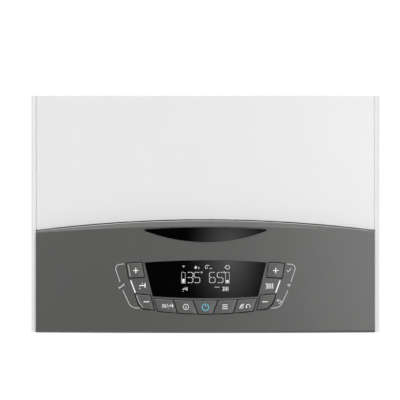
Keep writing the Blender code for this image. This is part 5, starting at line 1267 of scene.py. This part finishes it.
def flat(name, width, height, place, finish, turn=(0, 0, 0)):
    """A flat sheet of the stage."""
    form = bmesh.new()
    bmesh.ops.create_grid(form, x_segments=1, y_segments=1, size=0.5)
    bmesh.ops.scale(form, verts=form.verts, vec=(width, height, 1))
    mesh = bpy.data.meshes.new(name)
    form.to_mesh(mesh)
    form.free()
    mesh.materials.append(finish)
    made = bpy.data.objects.new(name, mesh)
    made.location = place
    made.rotation_euler = turn
    bpy.context.scene.collection.objects.link(made)
    return made


def hidden(made, also):
    """Hides a stage piece from diffuse, transmission, volume and shadow rays, and from one more kind."""
    for way in (also, "visible_diffuse", "visible_transmission", "visible_volume_scatter", "visible_shadow"):
        setattr(made, way, False)


def pale_floor(tree):
    """A pale floor that fades into the white surround away from the object."""
    matt = {"Base Color": tree.mix(tree.noise(8), tone(0.93), tone(0.95)), "Roughness": 0.9}
    shader = tree.make("ShaderNodeBsdfPrincipled", {}, **matt)
    across, along = tree.flat_place()
    far = tree.fit((across * across + along * along) ** 0.5, 0.5, 2.4)
    seen = tree.make("ShaderNodeLightPath", {}, out="Is Camera Ray")
    white = tree.make("ShaderNodeEmission", {}, tone(1.0), 1.0)
    return tree.make("ShaderNodeMixShader", {}, far * seen, shader, white)


def cut_card(tree):
    """White to the camera, and not there for anything else."""
    seen = tree.make("ShaderNodeLightPath", {}, out="Is Camera Ray")
    clear = tree.make("ShaderNodeBsdfTransparent", {})
    white = tree.make("ShaderNodeEmission", {}, tone(1.0), 1.0)
    return tree.make("ShaderNodeMixShader", {}, seen, clear, white)


# The bright patch on the flag: its middle, its half width and half height in metres, and its strength
PATCH_X, PATCH_Z, PATCH_WIDE, PATCH_TALL, PATCH_GLOW = 0.205, -0.22, 0.35, 0.30, 1.68


def dark_flag(tree):
    """Seen only in polished surfaces: dark, with a soft bright patch to the right of the camera."""
    across, along = tree.flat_place()
    patch_x, patch_z = (across - PATCH_X) / PATCH_WIDE, (along - PATCH_Z) / PATCH_TALL
    far = (patch_x * patch_x + patch_z * patch_z) ** 0.5
    patch = tree.fit(far, 0.0, 1.0, 1.0, 0.0) ** 1.6 * PATCH_GLOW
    edge = tree.fit(across, 0.9, 1.9, 0.0, 1.0)
    return tree.make("ShaderNodeEmission", {}, tone(1.0), patch + edge + 0.015)


UPRIGHT = (pi / 2, 0, 0)
FLOOR_HEIGHT = -RAISE - 1.0
flat("floor", 7, 7, (0, 0, FLOOR_HEIGHT), surfaced("pale floor", pale_floor))
flag = flat("dark flag", 3.8, 3.6, (0, -4.6, -0.54), surfaced("studio flag", dark_flag), UPRIGHT)
hidden(flag, "visible_camera")

# The picture's width in pixels, and what one of them spans on the boiler's front in metres
PICTURE = 400
PIXEL = 0.0011448
LENS = 135
SENSOR = 36
camera_data = bpy.data.cameras.new("front view")
camera_data.lens = LENS
camera_data.sensor_width = SENSOR
camera_data.clip_start = 0.01
camera = bpy.data.objects.new("front view", camera_data)
camera_back = PICTURE * PIXEL * LENS / SENSOR
camera.location = (-0.0062, -0.3095 - camera_back, -0.5383)
camera.rotation_euler = UPRIGHT
bpy.context.scene.collection.objects.link(camera)
bpy.context.scene.camera = camera

# The photograph is cut off above a straight line, so a small white card hides what is above it.
CARD_REACH = 0.05
CARD_WIDE, CARD_TALL = 440, 130
CUT_ROW = 96
card_pixel = CARD_REACH * SENSOR / LENS / PICTURE
card_middle = (PICTURE / 2 - CUT_ROW + CARD_TALL / 2) * card_pixel
card_place = camera.location + Vector((0, CARD_REACH, card_middle))
card_size = (CARD_WIDE * card_pixel, CARD_TALL * card_pixel)
hidden(flat("cut card", *card_size, card_place, surfaced("cut card", cut_card), UPRIGHT), "visible_glossy")

# Each lamp's place, width, height and power. All of them point at AIM, which is inside the boiler.
LAMPS = {
    "front softbox": ((-1.4, -3.4, 0.4), 1.8, 1.8, 15),
    "right softbox": ((1.4, -3.0, -0.2), 0.7, 2.2, 9),
    "near right softbox": ((1.02, -3.3, -0.2), 0.6, 2.2, 25),
    "left side light": ((-3.0, -0.9, -0.2), 1.0, 2.2, 24),
    "right side light": ((3.0, -0.5, -0.2), 1.0, 2.2, 15),
    "top softbox": ((0, -1.1, 2.9), 1.6, 1.6, 82),
    "rear softbox": ((0.6, 2.8, 1.2), 1.6, 1.6, 36),
}
AIM = Vector((0, -0.2, -0.45))
for name, (place, width, height, power) in LAMPS.items():
    light = bpy.data.lights.new(name, "AREA")
    light.shape = "RECTANGLE"
    light.size, light.size_y = width, height
    light.energy = power
    lamp = bpy.data.objects.new(name, light)
    lamp.location = place
    lamp.rotation_euler = (AIM - Vector(place)).to_track_quat("-Z", "Y").to_euler()
    bpy.context.scene.collection.objects.link(lamp)

world = bpy.data.worlds.new("studio")
bpy.context.scene.world = world
studio = Tree(world)
path = studio.node("ShaderNodeLightPath", {})
shown = Value(studio, path.outputs["Is Camera Ray"])
for ray in ("Is Glossy Ray", "Is Transmission Ray"):
    shown = shown.math("MAXIMUM", Value(studio, path.outputs[ray]))
strength = studio.fit(shown, 0, 1, 0.235, 1.0)
sky = studio.make("ShaderNodeBackground", {}, tone(1.0), strength)
studio.node("ShaderNodeOutputWorld", {}, sky)

bpy.context.scene.view_settings.view_transform = "Standard"
